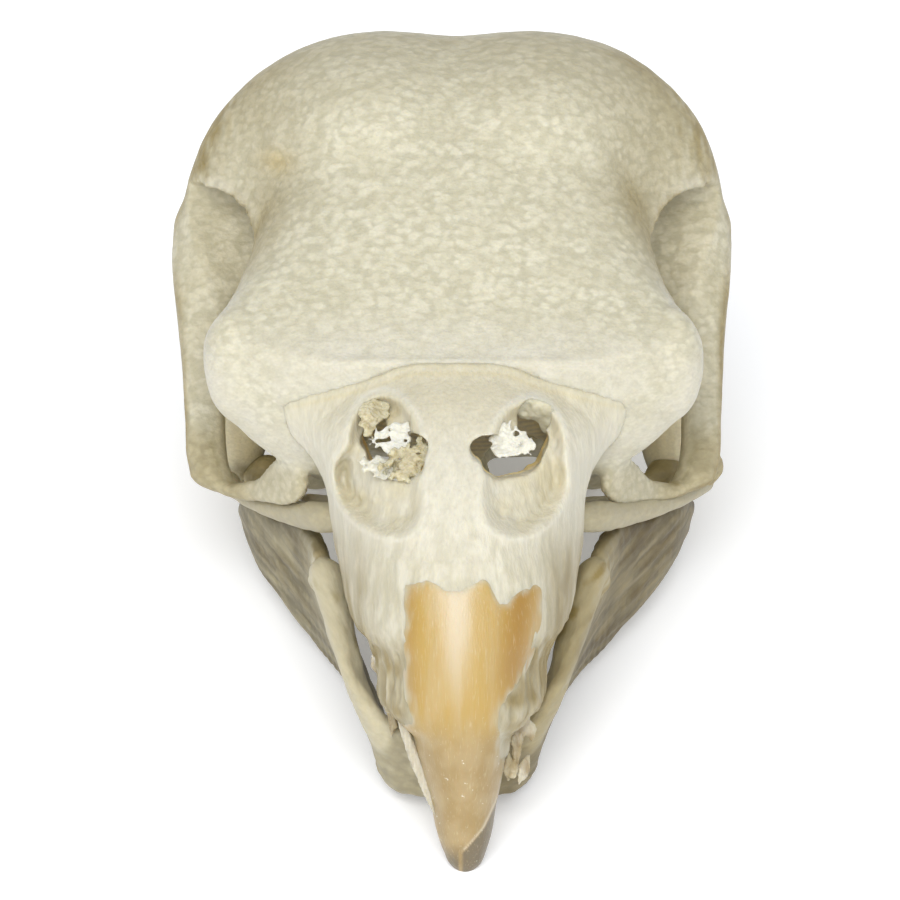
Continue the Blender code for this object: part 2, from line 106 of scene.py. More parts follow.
def window(b, low, high):      # the part of a block between two corners
    cuts = []
    for axis, a, c in zip(b.axes, low, high):
        first = int(np.searchsorted(axis, a))
        cuts.append(slice(first, max(int(np.searchsorted(axis, c)), first + 1)))
    return SimpleNamespace(axes=[axis[cut] for axis, cut in zip(b.axes, cuts)], step=b.step, part=tuple(cuts),
                           x=b.x[cuts[0]], y=b.y[:, cuts[1]], z=b.z[:, :, cuts[2]])


def smoothLow(a, b, soft):
    near = np.maximum(soft - np.abs(a - b), 0)
    return np.minimum(a, b) - near * near / (4 * soft)


def smoothHigh(a, b, soft):
    return -smoothLow(-a, -b, soft)


def join(field, shape, soft=0.1):
    part, value = shape
    field[part] = smoothLow(field[part], value, soft)


def carve(field, shape, soft=0.1):
    part, value = shape
    field[part] = smoothHigh(field[part], -value, soft)


def evened(field, b, least=0.25, most=4):      # makes a field's values true distances near its surface
    slopes = np.gradient(field, b.step)
    steep = np.sqrt(sum(s * s for s in slopes))
    return field / np.clip(steep, least, most)


def oval(b, at, radii, side=1, lean=0, margin=0.7):
    at = np.array(at) * (side, 1, 1)
    reach = np.array(radii) + margin
    if lean:
        reach[1:] = max(reach[1:])
    w = window(b, at - reach, at + reach)
    x, y, z = w.x - at[0], w.y - at[1], w.z - at[2]
    c, s = math.cos(math.radians(lean)), math.sin(math.radians(lean))
    y, z = y * c + z * s, z * c - y * s
    far = np.sqrt((x / radii[0]) ** 2 + (y / radii[1]) ** 2 + (z / radii[2]) ** 2)
    steep = np.sqrt((x / radii[0] ** 2) ** 2 + (y / radii[1] ** 2) ** 2 + (z / radii[2] ** 2) ** 2)
    return w.part, far * (far - 1) / np.maximum(steep, 1e-6)


def placeOvals(act, field, b, side, *ovals):      # joins or carves ovals, each told by its dictionary
    for told in ovals:
        shape = {word: value for word, value in told.items() if word != "soft"}
        act(field, oval(b, side=side, **shape), told["soft"])


def emptyField(b):
    return np.full((b.x.size, b.y.size, b.z.size), 1.0, np.float32)


def smoothRows(rows, count):
    rows = np.array(rows, dtype=float)
    place = np.linspace(0, 1, len(rows))
    where = np.linspace(0, 1, count)
    return np.stack([curveAt(list(zip(place, column)), where) for column in rows.T], axis=1)


# a bone along a path: each row is (point, half height, half width, the way its height points)
def strap(b, rows, side=1, power=2.0, count=40, margin=0.7):
    flat = np.array([(*point, high, wide, *up) for point, high, wide, up in rows])
    flat = smoothRows(flat, count)
    line, high, wide, ups = flat[:, :3] * (side, 1, 1), flat[:, 3], flat[:, 4], flat[:, 5:] * (side, 1, 1)
    reach = np.maximum(high, wide)[:, None] + margin
    w = window(b, (line - reach).min(0), (line + reach).max(0))
    value = np.full((w.x.size, w.y.size, w.z.size), margin, np.float32)
    for i in range(count - 1):
        a, c = line[i], line[i + 1]
        along = c - a
        length = np.linalg.norm(along)
        along = along / length
        reach = max(high[i], wide[i], high[i + 1], wide[i + 1]) + margin
        s = window(w, np.minimum(a, c) - reach, np.maximum(a, c) + reach)
        if 0 in (s.x.size, s.y.size, s.z.size):
            continue
        up = ups[i] - along * (ups[i] @ along)
        up = up / np.linalg.norm(up)
        across = np.cross(along, up)
        dx, dy, dz = s.x - a[0], s.y - a[1], s.z - a[2]
        run = dx * along[0] + dy * along[1] + dz * along[2]
        t = np.clip(run / length, 0, 1)
        past = run - t * length
        tall = high[i] + (high[i + 1] - high[i]) * t
        broad = wide[i] + (wide[i + 1] - wide[i]) * t
        u = np.abs(dx * up[0] + dy * up[1] + dz * up[2]) / tall
        v = np.abs(dx * across[0] + dy * across[1] + dz * across[2]) / broad
        e = np.abs(past) / np.minimum(tall, broad)
        far = (u ** power + v ** power + e ** power) ** (1 / power) + 1e-6
        steep = np.sqrt(((u / far) ** (power - 1) / tall) ** 2 + ((v / far) ** (power - 1) / broad) ** 2
                        + ((e / far) ** (power - 1) / np.minimum(tall, broad)) ** 2)
        value[s.part] = np.minimum(value[s.part], (far - 1) / np.maximum(steep, 1e-3))
    return w.part, value


def rod(b, points, thick, side=1, count=30, margin=0.6, up=(0.1, 0.3, 1)):
    thick = [thick] * len(points) if np.isscalar(thick) else thick
    rows = [(point, t, t, up) for point, t in zip(points, thick)]
    return strap(b, rows, side, 2.0, count, margin)


def skin(field, b):            # points and four-sided faces where the field changes sign
    inside = field < 0
    nx, ny, nz = (n - 1 for n in field.shape)
    corners = [(i, j, k) for i in (0, 1) for j in (0, 1) for k in (0, 1)]
    full = sum(inside[i:nx + i, j:ny + j, k:nz + k].astype(np.int8) for i, j, k in corners)
    mixed = (full > 0) & (full < 8)
    number = np.full(mixed.shape, -1, np.int32)
    number[mixed] = np.arange(int(mixed.sum()))
    cell = np.argwhere(mixed)
    value = [field[cell[:, 0] + i, cell[:, 1] + j, cell[:, 2] + k] for i, j, k in corners]
    total = np.zeros((len(cell), 3))
    hits = np.zeros(len(cell))
    for a, corner in enumerate(corners):
        for d in range(3):
            if corner[d]:
                continue
            c = a + (4, 2, 1)[d]
            cross = (value[a] < 0) != (value[c] < 0)
            t = value[a][cross] / (value[a][cross] - value[c][cross])
            total[cross] += corner
            total[cross, d] += t
            hits[cross] += 1
    low = np.array([axis[0] for axis in b.axes])
    points = (cell + total / hits[:, None]) * b.step + low
    faces = []
    for d in range(3):
        ahead = np.moveaxis(inside, d, 0)
        change = np.zeros(inside.shape, bool)
        np.moveaxis(change, d, 0)[:-1] = ahead[:-1] != ahead[1:]
        spot = np.argwhere(change)
        e1, e2 = (d + 1) % 3, (d + 2) % 3
        sizes = np.array(mixed.shape)
        good = (spot[:, e1] > 0) & (spot[:, e2] > 0) & (spot[:, e1] < sizes[e1]) & (spot[:, e2] < sizes[e2])
        spot = spot[good]
        step1, step2 = np.eye(3, dtype=int)[e1], np.eye(3, dtype=int)[e2]
        ring = [spot - step1 - step2, spot - step2, spot, spot - step1]
        quad = np.stack([number[r[:, 0], r[:, 1], r[:, 2]] for r in ring], axis=1)
        solid = inside[spot[:, 0], spot[:, 1], spot[:, 2]]
        faces.append(np.where(solid[:, None], quad, quad[:, ::-1]))
    faces = np.concatenate(faces)
    return points, faces[(faces >= 0).all(axis=1)]


def sampled(field, b, points):       # a field's value at the block point nearest to each given point
    index = [np.clip(np.rint((points[:, d] - b.axes[d][0]) / b.step).astype(int), 0, len(b.axes[d]) - 1)
             for d in range(3)]
    return field[tuple(index)]


def nearLine(points, line):          # distance to the nearest point of a line, both sides alike
    folded = np.abs(points) * (1, 0, 0) + points * (0, 1, 1)
    away = np.full(len(points), 99.0)
    for spot in line:
        away = np.minimum(away, np.linalg.norm(folded - spot, axis=1))
    return away


def bell(value, middle, width):      # 1 at the middle, fading to both sides
    return np.exp(-((value - middle) / width) ** 2)


# how far each tone shows at each point: its strength, where all its measures are past their
# spans, each told as (measure, where it starts, where it is full)
def tonesOf(measures, spread):
    shares = {}
    for word, (strength, *spans) in spread.items():
        shares[word] = strength
        for measure, start, full in spans:
            shares[word] = shares[word] * smoothStep(start, full, measures[measure])
    return SimpleNamespace(**shares)


def normalsOf(points, faces):
    face = np.cross(points[faces[:, 2]] - points[faces[:, 0]], points[faces[:, 3]] - points[faces[:, 1]])
    total = [sum(np.bincount(faces[:, c], face[:, d], len(points)) for c in range(4)) for d in range(3)]
    total = np.stack(total, 1)
    return total / np.maximum(np.linalg.norm(total, axis=1, keepdims=True), 1e-9)


def relaxed(points, faces, rounds, strength=0.5):
    edges = np.concatenate([faces[:, [0, 1]], faces[:, [1, 2]], faces[:, [2, 3]], faces[:, [3, 0]]])
    near = np.bincount(edges[:, 0], minlength=len(points)) + np.bincount(edges[:, 1], minlength=len(points))
    for _ in range(rounds):
        total = [np.bincount(edges[:, 0], points[edges[:, 1], d], len(points))
                 + np.bincount(edges[:, 1], points[edges[:, 0], d], len(points)) for d in range(3)]
        mean = np.stack(total, 1) / np.maximum(near, 1)[:, None]
        points = points + (mean - points) * strength
    return points


def largestPiece(points, faces):     # drops the loose crumbs
    mark = np.arange(len(points))
    while True:
        low = mark[faces].min(axis=1)
        fresh = mark.copy()
        for c in range(4):
            np.minimum.at(fresh, faces[:, c], low)
        fresh = fresh[fresh]
        if (fresh == mark).all():
            break
        mark = fresh
    names, counts = np.unique(mark, return_counts=True)
    keep = mark == names[counts.argmax()]
    number = np.cumsum(keep) - 1
    return points[keep], number[faces[keep[faces[:, 0]]]]


def skinned(field, b, rounds=2):     # a field's surface: points, faces and the way each point faces
    points, faces = largestPiece(*skin(field, b))
    points = relaxed(points, faces, rounds)
    return points, faces, normalsOf(points, faces)


def makePiece(name, points, faces, look, nodes, masks, grain=None):
    mesh = bpy.data.meshes.new(name)
    world = points @ poseTurn.T + pose["place"]
    mesh.from_pydata(world * 0.001, [], faces)
    spot = mesh.attributes.new("skullMm", "FLOAT_VECTOR", "POINT")
    grain = points if grain is None else grain
    spot.data.foreach_set("vector", grain.astype(np.float32).ravel())
    for word, value in masks.items():
        layer = mesh.attributes.new(word, "FLOAT", "POINT")
        layer.data.foreach_set("value", np.clip(value, 0, 1).astype(np.float32))
    mesh.shade_smooth()
    piece = bpy.data.objects.new(name, mesh)
    bpy.context.scene.collection.objects.link(piece)
    piece.data.materials.append(look)
    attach(piece, "root")
    if nodes:
        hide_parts(*nodes)
    print(f"{name}: {len(points)} points, {len(faces)} faces")
    return piece


# looks: bone, horn and dried scraps, coloured by what each piece carries at its points
def addNode(tree, kind, inputs=None, **settings):
    node = tree.nodes.new(kind)
    for word, value in settings.items():
        setattr(node, word, value)
    for word, value in (inputs or {}).items():
        socket = node.inputs[word]
        if isinstance(value, bpy.types.NodeSocket):
            tree.links.new(value, socket)
        else:
            socket.default_value = value
    return node


def mixColours(tree, share, first, second, mode="MIX"):
    first, second = [colour if isinstance(colour, bpy.types.NodeSocket) else (*colour, 1)
                     for colour in (first, second)]
    node = addNode(tree, "ShaderNodeMix", {0: share, 6: first, 7: second}, data_type="RGBA", blend_type=mode)
    return node.outputs[2]


def sums(tree, operation, *values):
    return addNode(tree, "ShaderNodeMath", dict(enumerate(values)), operation=operation).outputs[0]


def ramp(tree, value, low, high):
    node = addNode(tree, "ShaderNodeMapRange", {"Value": value, "From Min": low, "From Max": high},
                   interpolation_type="SMOOTHSTEP")
    return node.outputs[0]


def carried(tree, word, kind="Fac"):      # a value that a piece carries at each of its points
    return addNode(tree, "ShaderNodeAttribute", attribute_name=word).outputs[kind]


def speckle(tree, spot, scale, layers=4.0, out="Fac"):
    values = {"Vector": spot, "Scale": scale, "Detail": layers}
    return addNode(tree, "ShaderNodeTexNoise", values).outputs[out]


def stretchedSpot(tree, spot, stretch):
    return addNode(tree, "ShaderNodeMapping", {"Vector": spot, "Scale": stretch}).outputs[0]


def startLook(name):
    made = bpy.data.materials.new(name)
    made.use_nodes = True
    return made, made.node_tree, carried(made.node_tree, "skullMm", "Vector")


def finishLook(made, colour, fine, height, look):
    tree = made.node_tree
    shader = tree.nodes["Principled BSDF"]
    tree.links.new(colour, shader.inputs["Base Color"])
    share, smoothest = look["roughness"]
    tree.links.new(sums(tree, "MULTIPLY_ADD", fine, share, smoothest), shader.inputs["Roughness"])
    relief = {"Height": height, "Distance": look["bumpDepth"], "Strength": look["bump"]}
    tree.links.new(addNode(tree, "ShaderNodeBump", relief).outputs[0], shader.inputs["Normal"])
    shader.inputs["Subsurface Weight"].default_value = look["through"]
    shader.inputs["Subsurface Radius"].default_value = look["throughHue"]
    shader.inputs["Subsurface Scale"].default_value = look["throughDepth"]
    shader.inputs["Specular IOR Level"].default_value = look["shine"]
    return made


def boneLook(name, look):
    made, tree, spot = startLook(name)
    stretched = stretchedSpot(tree, spot, look["stretch"])
    bend, reach = look["warp"]
    warp = speckle(tree, spot, bend, layers=2.0, out="Color")
    warp = addNode(tree, "ShaderNodeVectorMath", {0: warp, 1: (reach,) * 3}, operation="MULTIPLY").outputs[0]
    warped = addNode(tree, "ShaderNodeVectorMath", {0: stretched, 1: warp}, operation="ADD").outputs[0]
    mottle = {"Vector": warped, "Scale": look["cells"], "Randomness": look["uneven"]}
    cells = addNode(tree, "ShaderNodeTexVoronoi", mottle, feature="SMOOTH_F1").outputs["Distance"]
    dots = ramp(tree, cells, *look["dotEdge"])
    blotch = speckle(tree, spot, look["blotch"])
    fine = speckle(tree, stretched, look["grain"], layers=5.0)
    patchy = sums(tree, "MULTIPLY_ADD", ramp(tree, blotch, *look["blotchEdge"]), *look["dotShare"])
    colour = mixColours(tree, sums(tree, "MULTIPLY", dots, patchy), look["dark"], look["light"])
    deep = sums(tree, "MULTIPLY", ramp(tree, blotch, *look["deepEdge"]), look["deepShare"])
    colour = mixColours(tree, deep, colour, look["deep"])
    for word, mode in (("cream", "MIX"), ("oliveAndPaintedShade", "MULTIPLY"), ("hollowBrownAndPaintedLight", "MIX"), ("stain", "MULTIPLY")):
        colour = mixColours(tree, carried(tree, word), colour, look[word], mode)
    shade = sums(tree, "MULTIPLY_ADD", fine, *look["grainShade"])
    grey = addNode(tree, "ShaderNodeCombineColor", {0: shade, 1: shade, 2: shade}).outputs[0]
    colour = mixColours(tree, 1.0, colour, grey, "MULTIPLY")
    height = sums(tree, "MULTIPLY", fine, look["grainHeight"])
    height = sums(tree, "MULTIPLY_ADD", dots, look["dotHeight"], height)
    return finishLook(made, colour, fine, height, look)


# sizes of a pattern are in turns for each mm, an edge is where a pattern starts and where it is full,
# and the two depths are in metres
skullLook = {
    "stretch": (1.0, 1.0, 1.4),
    "warp": (2.2, 0.3),
    "cells": 3.7,
    "uneven": 0.9,
    "dotEdge": (0.66, 0.24),
    "dotShare": (0.3, 0.6),
    "blotch": 1.3,
    "blotchEdge": (0.3, 0.62),
    "grain": 9.0,
    "grainShade": (0.34, 0.83),
    "dark": (0.47, 0.44, 0.32),
    "deep": (0.46, 0.42, 0.285),
    "deepEdge": (0.66, 0.38),
    "deepShare": 0.28,
    "light": (0.62, 0.585, 0.45),
    "cream": (0.575, 0.545, 0.45),
    # olive tint, partly real and partly painted shade: the braincase's turned-away sides, the bill's sides
    # and the jaw's left half
    "oliveAndPaintedShade": (0.52, 0.43, 0.22),
    # the tan-brown of the hollows, painted lighter to make up for the shade inside them
    "hollowBrownAndPaintedLight": (0.72, 0.64, 0.42),
    "stain": (0.95, 0.78, 0.40),
    "roughness": (0.25, 0.36),
    "dotHeight": 0.35,
    "grainHeight": 0.6,
    "bump": 0.35,
    "bumpDepth": 0.0001,
    "through": 0.3,
    "throughHue": (1.0, 0.75, 0.4),
    "throughDepth": 0.0006,
    "shine": 0.35,
}
# the bill's hollows get a brighter, yellower brown, painted light against the shade inside them
billLook = dict(skullLook, stretch=(1.0, 1.0, 0.3), cells=3.2, dark=(0.47, 0.435, 0.315),
                light=(0.62, 0.585, 0.47), deep=(0.46, 0.41, 0.28), cream=(0.60, 0.57, 0.465),
                hollowBrownAndPaintedLight=(0.98, 0.78, 0.36), oliveAndPaintedShade=(0.50, 0.42, 0.25), stain=(0.93, 0.84, 0.58),
                dotHeight=0.15, bump=0.5)
# the jaw's bone is painted much darker than the braincase: painted shade on its sides, along with its real
# streaks; cream masks bring the crest, chin and cheek bars back up
shadedJawLook = dict(skullLook, stretch=(1.0, 0.12, 1.0), cells=5.0, grain=8.0, dark=(0.16, 0.135, 0.07),
               light=(0.29, 0.25, 0.14), deep=(0.135, 0.112, 0.06), cream=(0.52, 0.475, 0.335), dotHeight=0.2)
flakeLook = dict(skullLook, cells=7.0, dark=(0.52, 0.49, 0.38), light=(0.72, 0.70, 0.61),
                 deep=(0.50, 0.46, 0.34), cream=(0.72, 0.69, 0.59), roughness=(0.25, 0.28), bump=0.6)
flakyLook = dict(skullLook, stretch=(1.0, 1.0, 0.4), cells=5.0, dark=(0.33, 0.27, 0.17),
                 light=(0.62, 0.58, 0.48), deep=(0.36, 0.27, 0.14), cream=(0.62, 0.58, 0.48),
                 roughness=(0.25, 0.14), bump=1.0)
tissueLook = dict(skullLook, cells=9.0, grain=16.0, dark=(0.44, 0.385, 0.235), light=(0.62, 0.56, 0.40),
                  deep=(0.42, 0.36, 0.21), cream=(0.58, 0.52, 0.35), roughness=(0.25, 0.08), bump=0.6,
                  through=0.5)
billHorn = {
    "stretch": (1.0, 1.0, 0.12),
    "streak": 2.6,
    "streakEdge": (0.38, 0.66),
    "fine": 22.0,
    "fineEdge": (0.56, 0.76),
    "cloud": 1.6,
    "cloudEdge": (0.35, 0.65),
    "specks": 7.0,
    "speckEdge": (0.68, 0.74),
    "amber": (0.45, 0.30, 0.083),
    "tan": (0.47, 0.34, 0.145),
    "paleLineAndPaintedHighlight": (0.57, 0.49, 0.35),
    "paleShare": 0.75,
    "orange": (0.34, 0.19, 0.035),
    "lowTan": (0.32, 0.225, 0.095),
    "lowPale": (0.375, 0.28, 0.14),
    "grey": (0.165, 0.13, 0.075),
    "scratch": (0.58, 0.48, 0.31),
    "scratchShare": 0.35,
    "speck": (0.72, 0.68, 0.56),
    "bone": (0.49, 0.455, 0.345),
    "roughness": (0.2, 0.26),
    "fineHeight": 0.4,
    "streakHeight": 0.6,
    "bump": 0.4,
    "bumpDepth": 0.00006,
    "through": 0.3,
    "throughHue": (1.0, 0.5, 0.2),
    "throughDepth": 0.0006,
    "shine": 0.5,
}


def hornLook(name, look):
    made, tree, spot = startLook(name)
    long = stretchedSpot(tree, spot, look["stretch"])
    streak = speckle(tree, long, look["streak"], layers=5.0)
    fine = speckle(tree, long, look["fine"], layers=3.0)
    cloud = ramp(tree, speckle(tree, spot, look["cloud"]), *look["cloudEdge"])
    specks = ramp(tree, speckle(tree, spot, look["specks"], layers=3.0), *look["speckEdge"])
    scratches = sums(tree, "MULTIPLY", ramp(tree, fine, *look["fineEdge"]), look["scratchShare"])
    low = carried(tree, "low")
    colour = mixColours(tree, ramp(tree, streak, *look["streakEdge"]), look["amber"], look["tan"])
    colour = mixColours(tree, carried(tree, "dark"), colour, look["orange"])
    colour = mixColours(tree, low, colour, mixColours(tree, cloud, look["lowTan"], look["lowPale"]))
    # mixes in the painted highlight down the sheath's middle and the pale line along the bevel's crease
    paleLineAndPaintedHighlight = sums(tree, "MULTIPLY", carried(tree, "paleLineAndPaintedHighlight"), look["paleShare"])
    colour = mixColours(tree, paleLineAndPaintedHighlight, colour, look["paleLineAndPaintedHighlight"])
    colour = mixColours(tree, carried(tree, "grey"), colour, look["grey"])
    colour = mixColours(tree, scratches, colour, look["scratch"])
    colour = mixColours(tree, sums(tree, "MULTIPLY", specks, low), colour, look["speck"])
    colour = mixColours(tree, carried(tree, "bone"), colour, look["bone"])
    height = sums(tree, "ADD", sums(tree, "MULTIPLY", fine, look["fineHeight"]),
                  sums(tree, "MULTIPLY", streak, look["streakHeight"]))
    return finishLook(made, colour, fine, height, look)


boneMaterial = boneLook("mottledBone", skullLook)
billMaterial = boneLook("paleBillBone", billLook)
shadedJawMaterial = boneLook("streakedJawBonePaintedShade", shadedJawLook)
hornMaterial = hornLook("billHorn", billHorn)
flakeMaterial = boneLook("paleFlakes", flakeLook)
tissueMaterial = boneLook("driedTissue", tissueLook)
flakyMaterial = boneLook("glossyFragments", flakyLook)
print("looks made")


# braincase and forehead: curves along y (the crown, the floor, the half width and how square they are)
cranium = {
    "block": ((-8.8, -0.7, -6.2), (8.8, 18.6, 9.4)),
    "cell": 0.128,
    "crown": ((0, 0), (2, 2.2), (4, 4.6), (6, 6.6), (8, 7.8), (10, 8.5), (12, 8.35), (14, 7.35), (16, 5.5),
              (17, 4.05), (17.5, 2.95), (17.8, 1.9), (18, 0.6)),
    "floor": ((0, -1.0), (1, -2.6), (2, -3.9), (4, -4.0), (8, -3.6), (11, -4.0), (14, -4.35), (16, -3.5),
              (17, -2.5), (17.5, -1.7), (17.8, -0.95), (18, 0)),
    "halfWidth": ((0, 3.0), (0.6, 4.7), (1.2, 6.0), (2, 6.95), (2.8, 7.15), (3.6, 6.85), (5, 6.45), (6, 6.2),
                  (7, 6.15), (7.6, 6.37), (8.2, 6.72), (8.8, 7.22), (9.6, 7.8), (10.5, 8.18), (12, 8.15),
                  (14, 7.3), (16, 5.75), (17, 4.25), (17.5, 3.15), (17.8, 2.1), (18, 0.7)),
    "crownPower": ((0, 2.2), (4, 2.0), (6.5, 2.4), (9, 3.05), (12, 3.1), (14, 2.65), (18, 2.3)),
    "floorPower": ((0, 2.1), (3.5, 2.1), (6, 2.3), (10, 2.6), (14, 2.4), (18, 2.1)),
    "widest": 0.3,
    "least": 0.05,
    "length": 18,
    "frontEnd": -0.1,
    "frontRound": 0.6,
    "brow": {"at": (2.35, 10.6, 6.0), "radii": (3.4, 4.9, 2.57), "margin": 1.3, "soft": 1.2},
    "cheekLobe": {"at": (6.4, 2.3, -0.1), "radii": (0.75, 0.8, 1.5), "soft": 0.5},
    "lumps": ((even, 0.55, 0.012), (even, 0.22, 0.006)),
    "straightUpTo": (0.5, 4),                     # y from where to where the sideways lean sets in
    "sideways": ((-6, -0.03), (-2, -0.06), (2, -0.1), (5, 0), (8.5, 0.08)),
}
socket = {
    "cup": {"at": (4.8, 6.05, -0.6), "radii": (4.3, 3.2, 2.8), "soft": 0.2},
    "below": {"at": (7.6, 6.2, -3.9), "radii": (6.6, 3.2, 2.6), "soft": 0.3},
    "roof": ((2.4, 0.5), (3.4, 1.0), (4.9, 1.75), (5.8, 2.25), (6.4, 2.7), (7, 3.12), (7.5, 3.52), (8, 3.88),
             (8.4, 4.08), (8.8, 4.26), (9.4, 4.34), (10.3, 4.36)),
    "back": ((-4.5, 9.3), (-2, 9.3), (0, 9.2), (1, 9.2), (2, 9.45), (3, 9.85), (4, 10.1), (4.7, 10.05)),
    "backSlant": ((-3, 0), (0.5, 0.2), (2.4, 0.2), (4.2, -0.3)),
    "slantFrom": 5.8,
    "roofSlant": 0.86,
    "front": 2.75,
    "frontRound": 0.8,
    "backRound": 0.65,
    "rimFrom": 5.0,
    "rimRound": 1.0,
    "edge": 0.06,
    "rimThick": 0.15,
    "rimSpan": (3.0, 9.5),      # along y
    "rimShift": (-0.12, 0.08),
    "rimBelow": ((7.0, 2.4, -0.1), (6.9, 2.15, -0.6), (6.75, 2.1, -1.1), (6.4, 2.0, -1.6), (5.8, 2.0, -2.15),
                 (5.1, 1.9, -2.6), (4.6, 1.8, -2.8)),
    "airWay": {"at": (1.85, 3.6, -2.95), "radii": (1.15, 6.0, 1.35), "lean": 8, "soft": 0.2},
}
# the outer arch below each eye, from the back of the socket down and round to the foot plate
arch = (
    ((7.5, 11.2, 2.6), 0.8, 0.8, (0, 1, 0.3)),
    ((7.48, 10.5, 1.8), 0.9, 0.85, (0, 1, 0.3)),
    ((7.38, 9.5, 0.6), 0.9, 0.82, (0, 1, 0.3)),
    ((7.42, 8.5, -0.9), 0.75, 0.64, (0, 1, 0.35)),
    ((7.36, 7.6, -2.4), 0.55, 0.6, (0, 1, 0.35)),
    ((7.25, 6.85, -3.6), 0.5, 0.58, (0, 0.8, 0.8)),
    ((6.6, 5.95, -4.26), 0.24, 0.45, (0, 0.3, 1)),
    ((5.9, 5.0, -4.22), 0.24, 0.32, (0, 0, 1)),
)
footPlate = (
    ((6.1, 5.3, -4.24), 0.2, 0.25, (0, 0, 1)),
    ((5.5, 4.2, -4.02), 0.38, 0.24, (0, 0, 1)),
    ((5.05, 3.25, -3.68), 0.68, 0.2, (0, 0, 1)),
    ((4.72, 2.55, -3.5), 0.7, 0.18, (0, 0, 1)),
    ((4.45, 2.1, -3.3), 0.5, 0.18, (0, 0, 1)),
)
base = {
    "foramen": {"at": (0, 16.4, -4.0), "radii": (1.75, 2.0, 1.9), "soft": 0.25},
    "condyle": {"at": (0, 14.4, -4.3), "radii": (0.6, 0.6, 0.5), "soft": 0.25},
    "process": {"at": (4.2, 13.4, -3.95), "radii": (1.2, 1.4, 1.42), "margin": 1.1, "soft": 1.0},
    "keel": (((0, 1.6, -3.3), 0.45, 0.45, (0, 0, 1)), ((0, 5.0, -4.0), 0.5, 0.5, (0, 0, 1)),
             ((0, 8.5, -4.1), 0.6, 0.7, (0, 0, 1)), ((0, 11.0, -4.2), 0.6, 0.9, (0, 0, 1))),
    "ear": {"at": (7.3, 11.6, -2.8), "radii": (1.2, 0.9, 0.9), "soft": 0.3},
    "earRidge": {"at": (6.4, 10.5, -3.5), "radii": (0.72, 1.2, 1.3), "soft": 0.7},
    "backBump": {"at": (0, 15.6, -0.4), "radii": (2.3, 2.2, 3.8), "margin": 1.3, "soft": 1.2},
    "temple": {"at": (9.15, 11.8, 1.0), "radii": (1.35, 2.4, 2.2), "soft": 0.6},
    "corner": {"at": (7.2, 6.55, -3.92), "radii": (0.55, 0.55, 0.36), "soft": 0.3},
    "knob": (((7.62, 7.5, -3.45), 0.22), ((7.78, 7.6, -3.85), 0.28), ((7.55, 7.8, -4.25), 0.24)),
    "ridgeThick": 0.09,
    "ridge": ((4.95, 0.95, -1.0), (4.1, 0.6, -0.76), (3.3, 0.28, -0.5), (2.55, 0.06, -0.27)),
}
# where the bill bone ends against the forehead, seen from the front: (distance from the middle, height)
hinge = {
    "edge": ((0, 0.22), (0.6, 0.22), (1.07, 0.2), (1.61, 0.1), (2.16, -0.12), (2.53, -0.25), (3.3, -0.48),
             (3.9, -0.66), (4.47, -0.84), (5.2, -1.02)),
    "side": ((-4.5, 3.7), (-3.4, 3.8), (-2.75, 4.1), (-2.46, 4.33), (-2.12, 4.66), (-1.53, 4.9), (-0.9, 4.98),
             (1, 5.1)),
    "gap": -0.12,
    "deep": 0.55,
    "behind": 2.6,
    "edgeRound": 0.04,
    "cornerRound": 0.12,
    "room": ((-6, -0.7, -4.2), (6, 3.4, 0.8)),
}
# the braincase's colours: x is away from the middle, depth below the uncut head, lobe and rim away
# from those edges, and the last three say which way a point faces
craniumSpread = {
    "creamFront": (0.8, ("y", 2.0, 0.2)),
    "creamLobe": (0.85, ("lobe", 1.25, 0.3), ("y", 5, 2.8)),
    # painted highlight: a paler band along the socket rim
    "creamRim": (0.45, ("rim", 0.34, 0.12)),
    "aboveBase": (1, ("z", -3.5, -2.5)),
    "socketBack": (1, ("forward", 0.1, 0.5), ("y", 7.9, 8.6), ("y", 11.8, 10.8)),
    "socketWall": (0.35, ("inward", 0.2, 0.6), ("x", 5.5, 6.5), ("y", 4, 6)),
    "socketLow": (1, ("z", 0.8, -0.8), ("x", 7.4, 7.0), ("z", -4.3, -3.8)),
    "cavity": (0.9, ("depth", 0.4, 1.2), ("y", 3.5, 5), ("y", 9.8, 9.2), ("z", 1.2, -0.6), ("x", 7.2, 6.6),
               ("z", -4.3, -3.8)),
    "throat": (1, ("depth", 0.3, 0.6), ("y", 4.5, 3.5), ("x", 4, 3.4), ("z", -5, -4.2)),
    # painted limb shade: olive darkening where the surface turns away from the camera's direction, growing
    # towards the sides (flank); the limb band takes some back near the top
    "turnedAway": (1, ("facing", 0.97, 0.25), ("y", 2.5, 6)),
    "flank": (0.58, ("x", 3.2, 6.8)),
    "limb": (0.75, ("z", 4.9, 4.2), ("z", 0.9, 2.3), ("y", 11.3, 10.2), ("x", 6.5, 7)),
    "streaks": (0.5, ("z", 3.9, 4.6), ("x", 6.0, 7.0), ("y", 12.5, 11.0)),
    "archFront": (0.22, ("y", 8.2, 9), ("forward", 0.3, 0.8), ("x", 5.6, 6.3), ("z", 4.6, 4.2)),
    "corner": (0.6, ("z", -2.0, -3.2), ("x", 5.5, 6.3)),
    "footPlate": (0.3, ("z", -2.9, -3.4), ("y", 5.5, 4.5)),
    "archSide": (0.13, ("x", 6.5, 7.0), ("z", 1.5, 0.3), ("y", 5, 6)),
}
craniumTint = {
    "creamLeast": 0.8,
    "creamMottle": ((even, 0.5, 0.35),),
    "oliveLeast": 0.42,
    "cloudLeast": 0.85,
    "cloud": ((even, 2.6, 0.3), (even, 1.1, 0.15)),
    "streaks": (((2.6, 0.8, 0.4), 0.3, 1),),
    "stain": {"at": (-5.2, 7.7, 5.3), "radii": (0.5, 2, 0.35), "share": 0.6},
    # the way towards the camera; the painted limb shade grows as a point turns from it
    "lookedAt": (0, -0.99, 0.14),
}


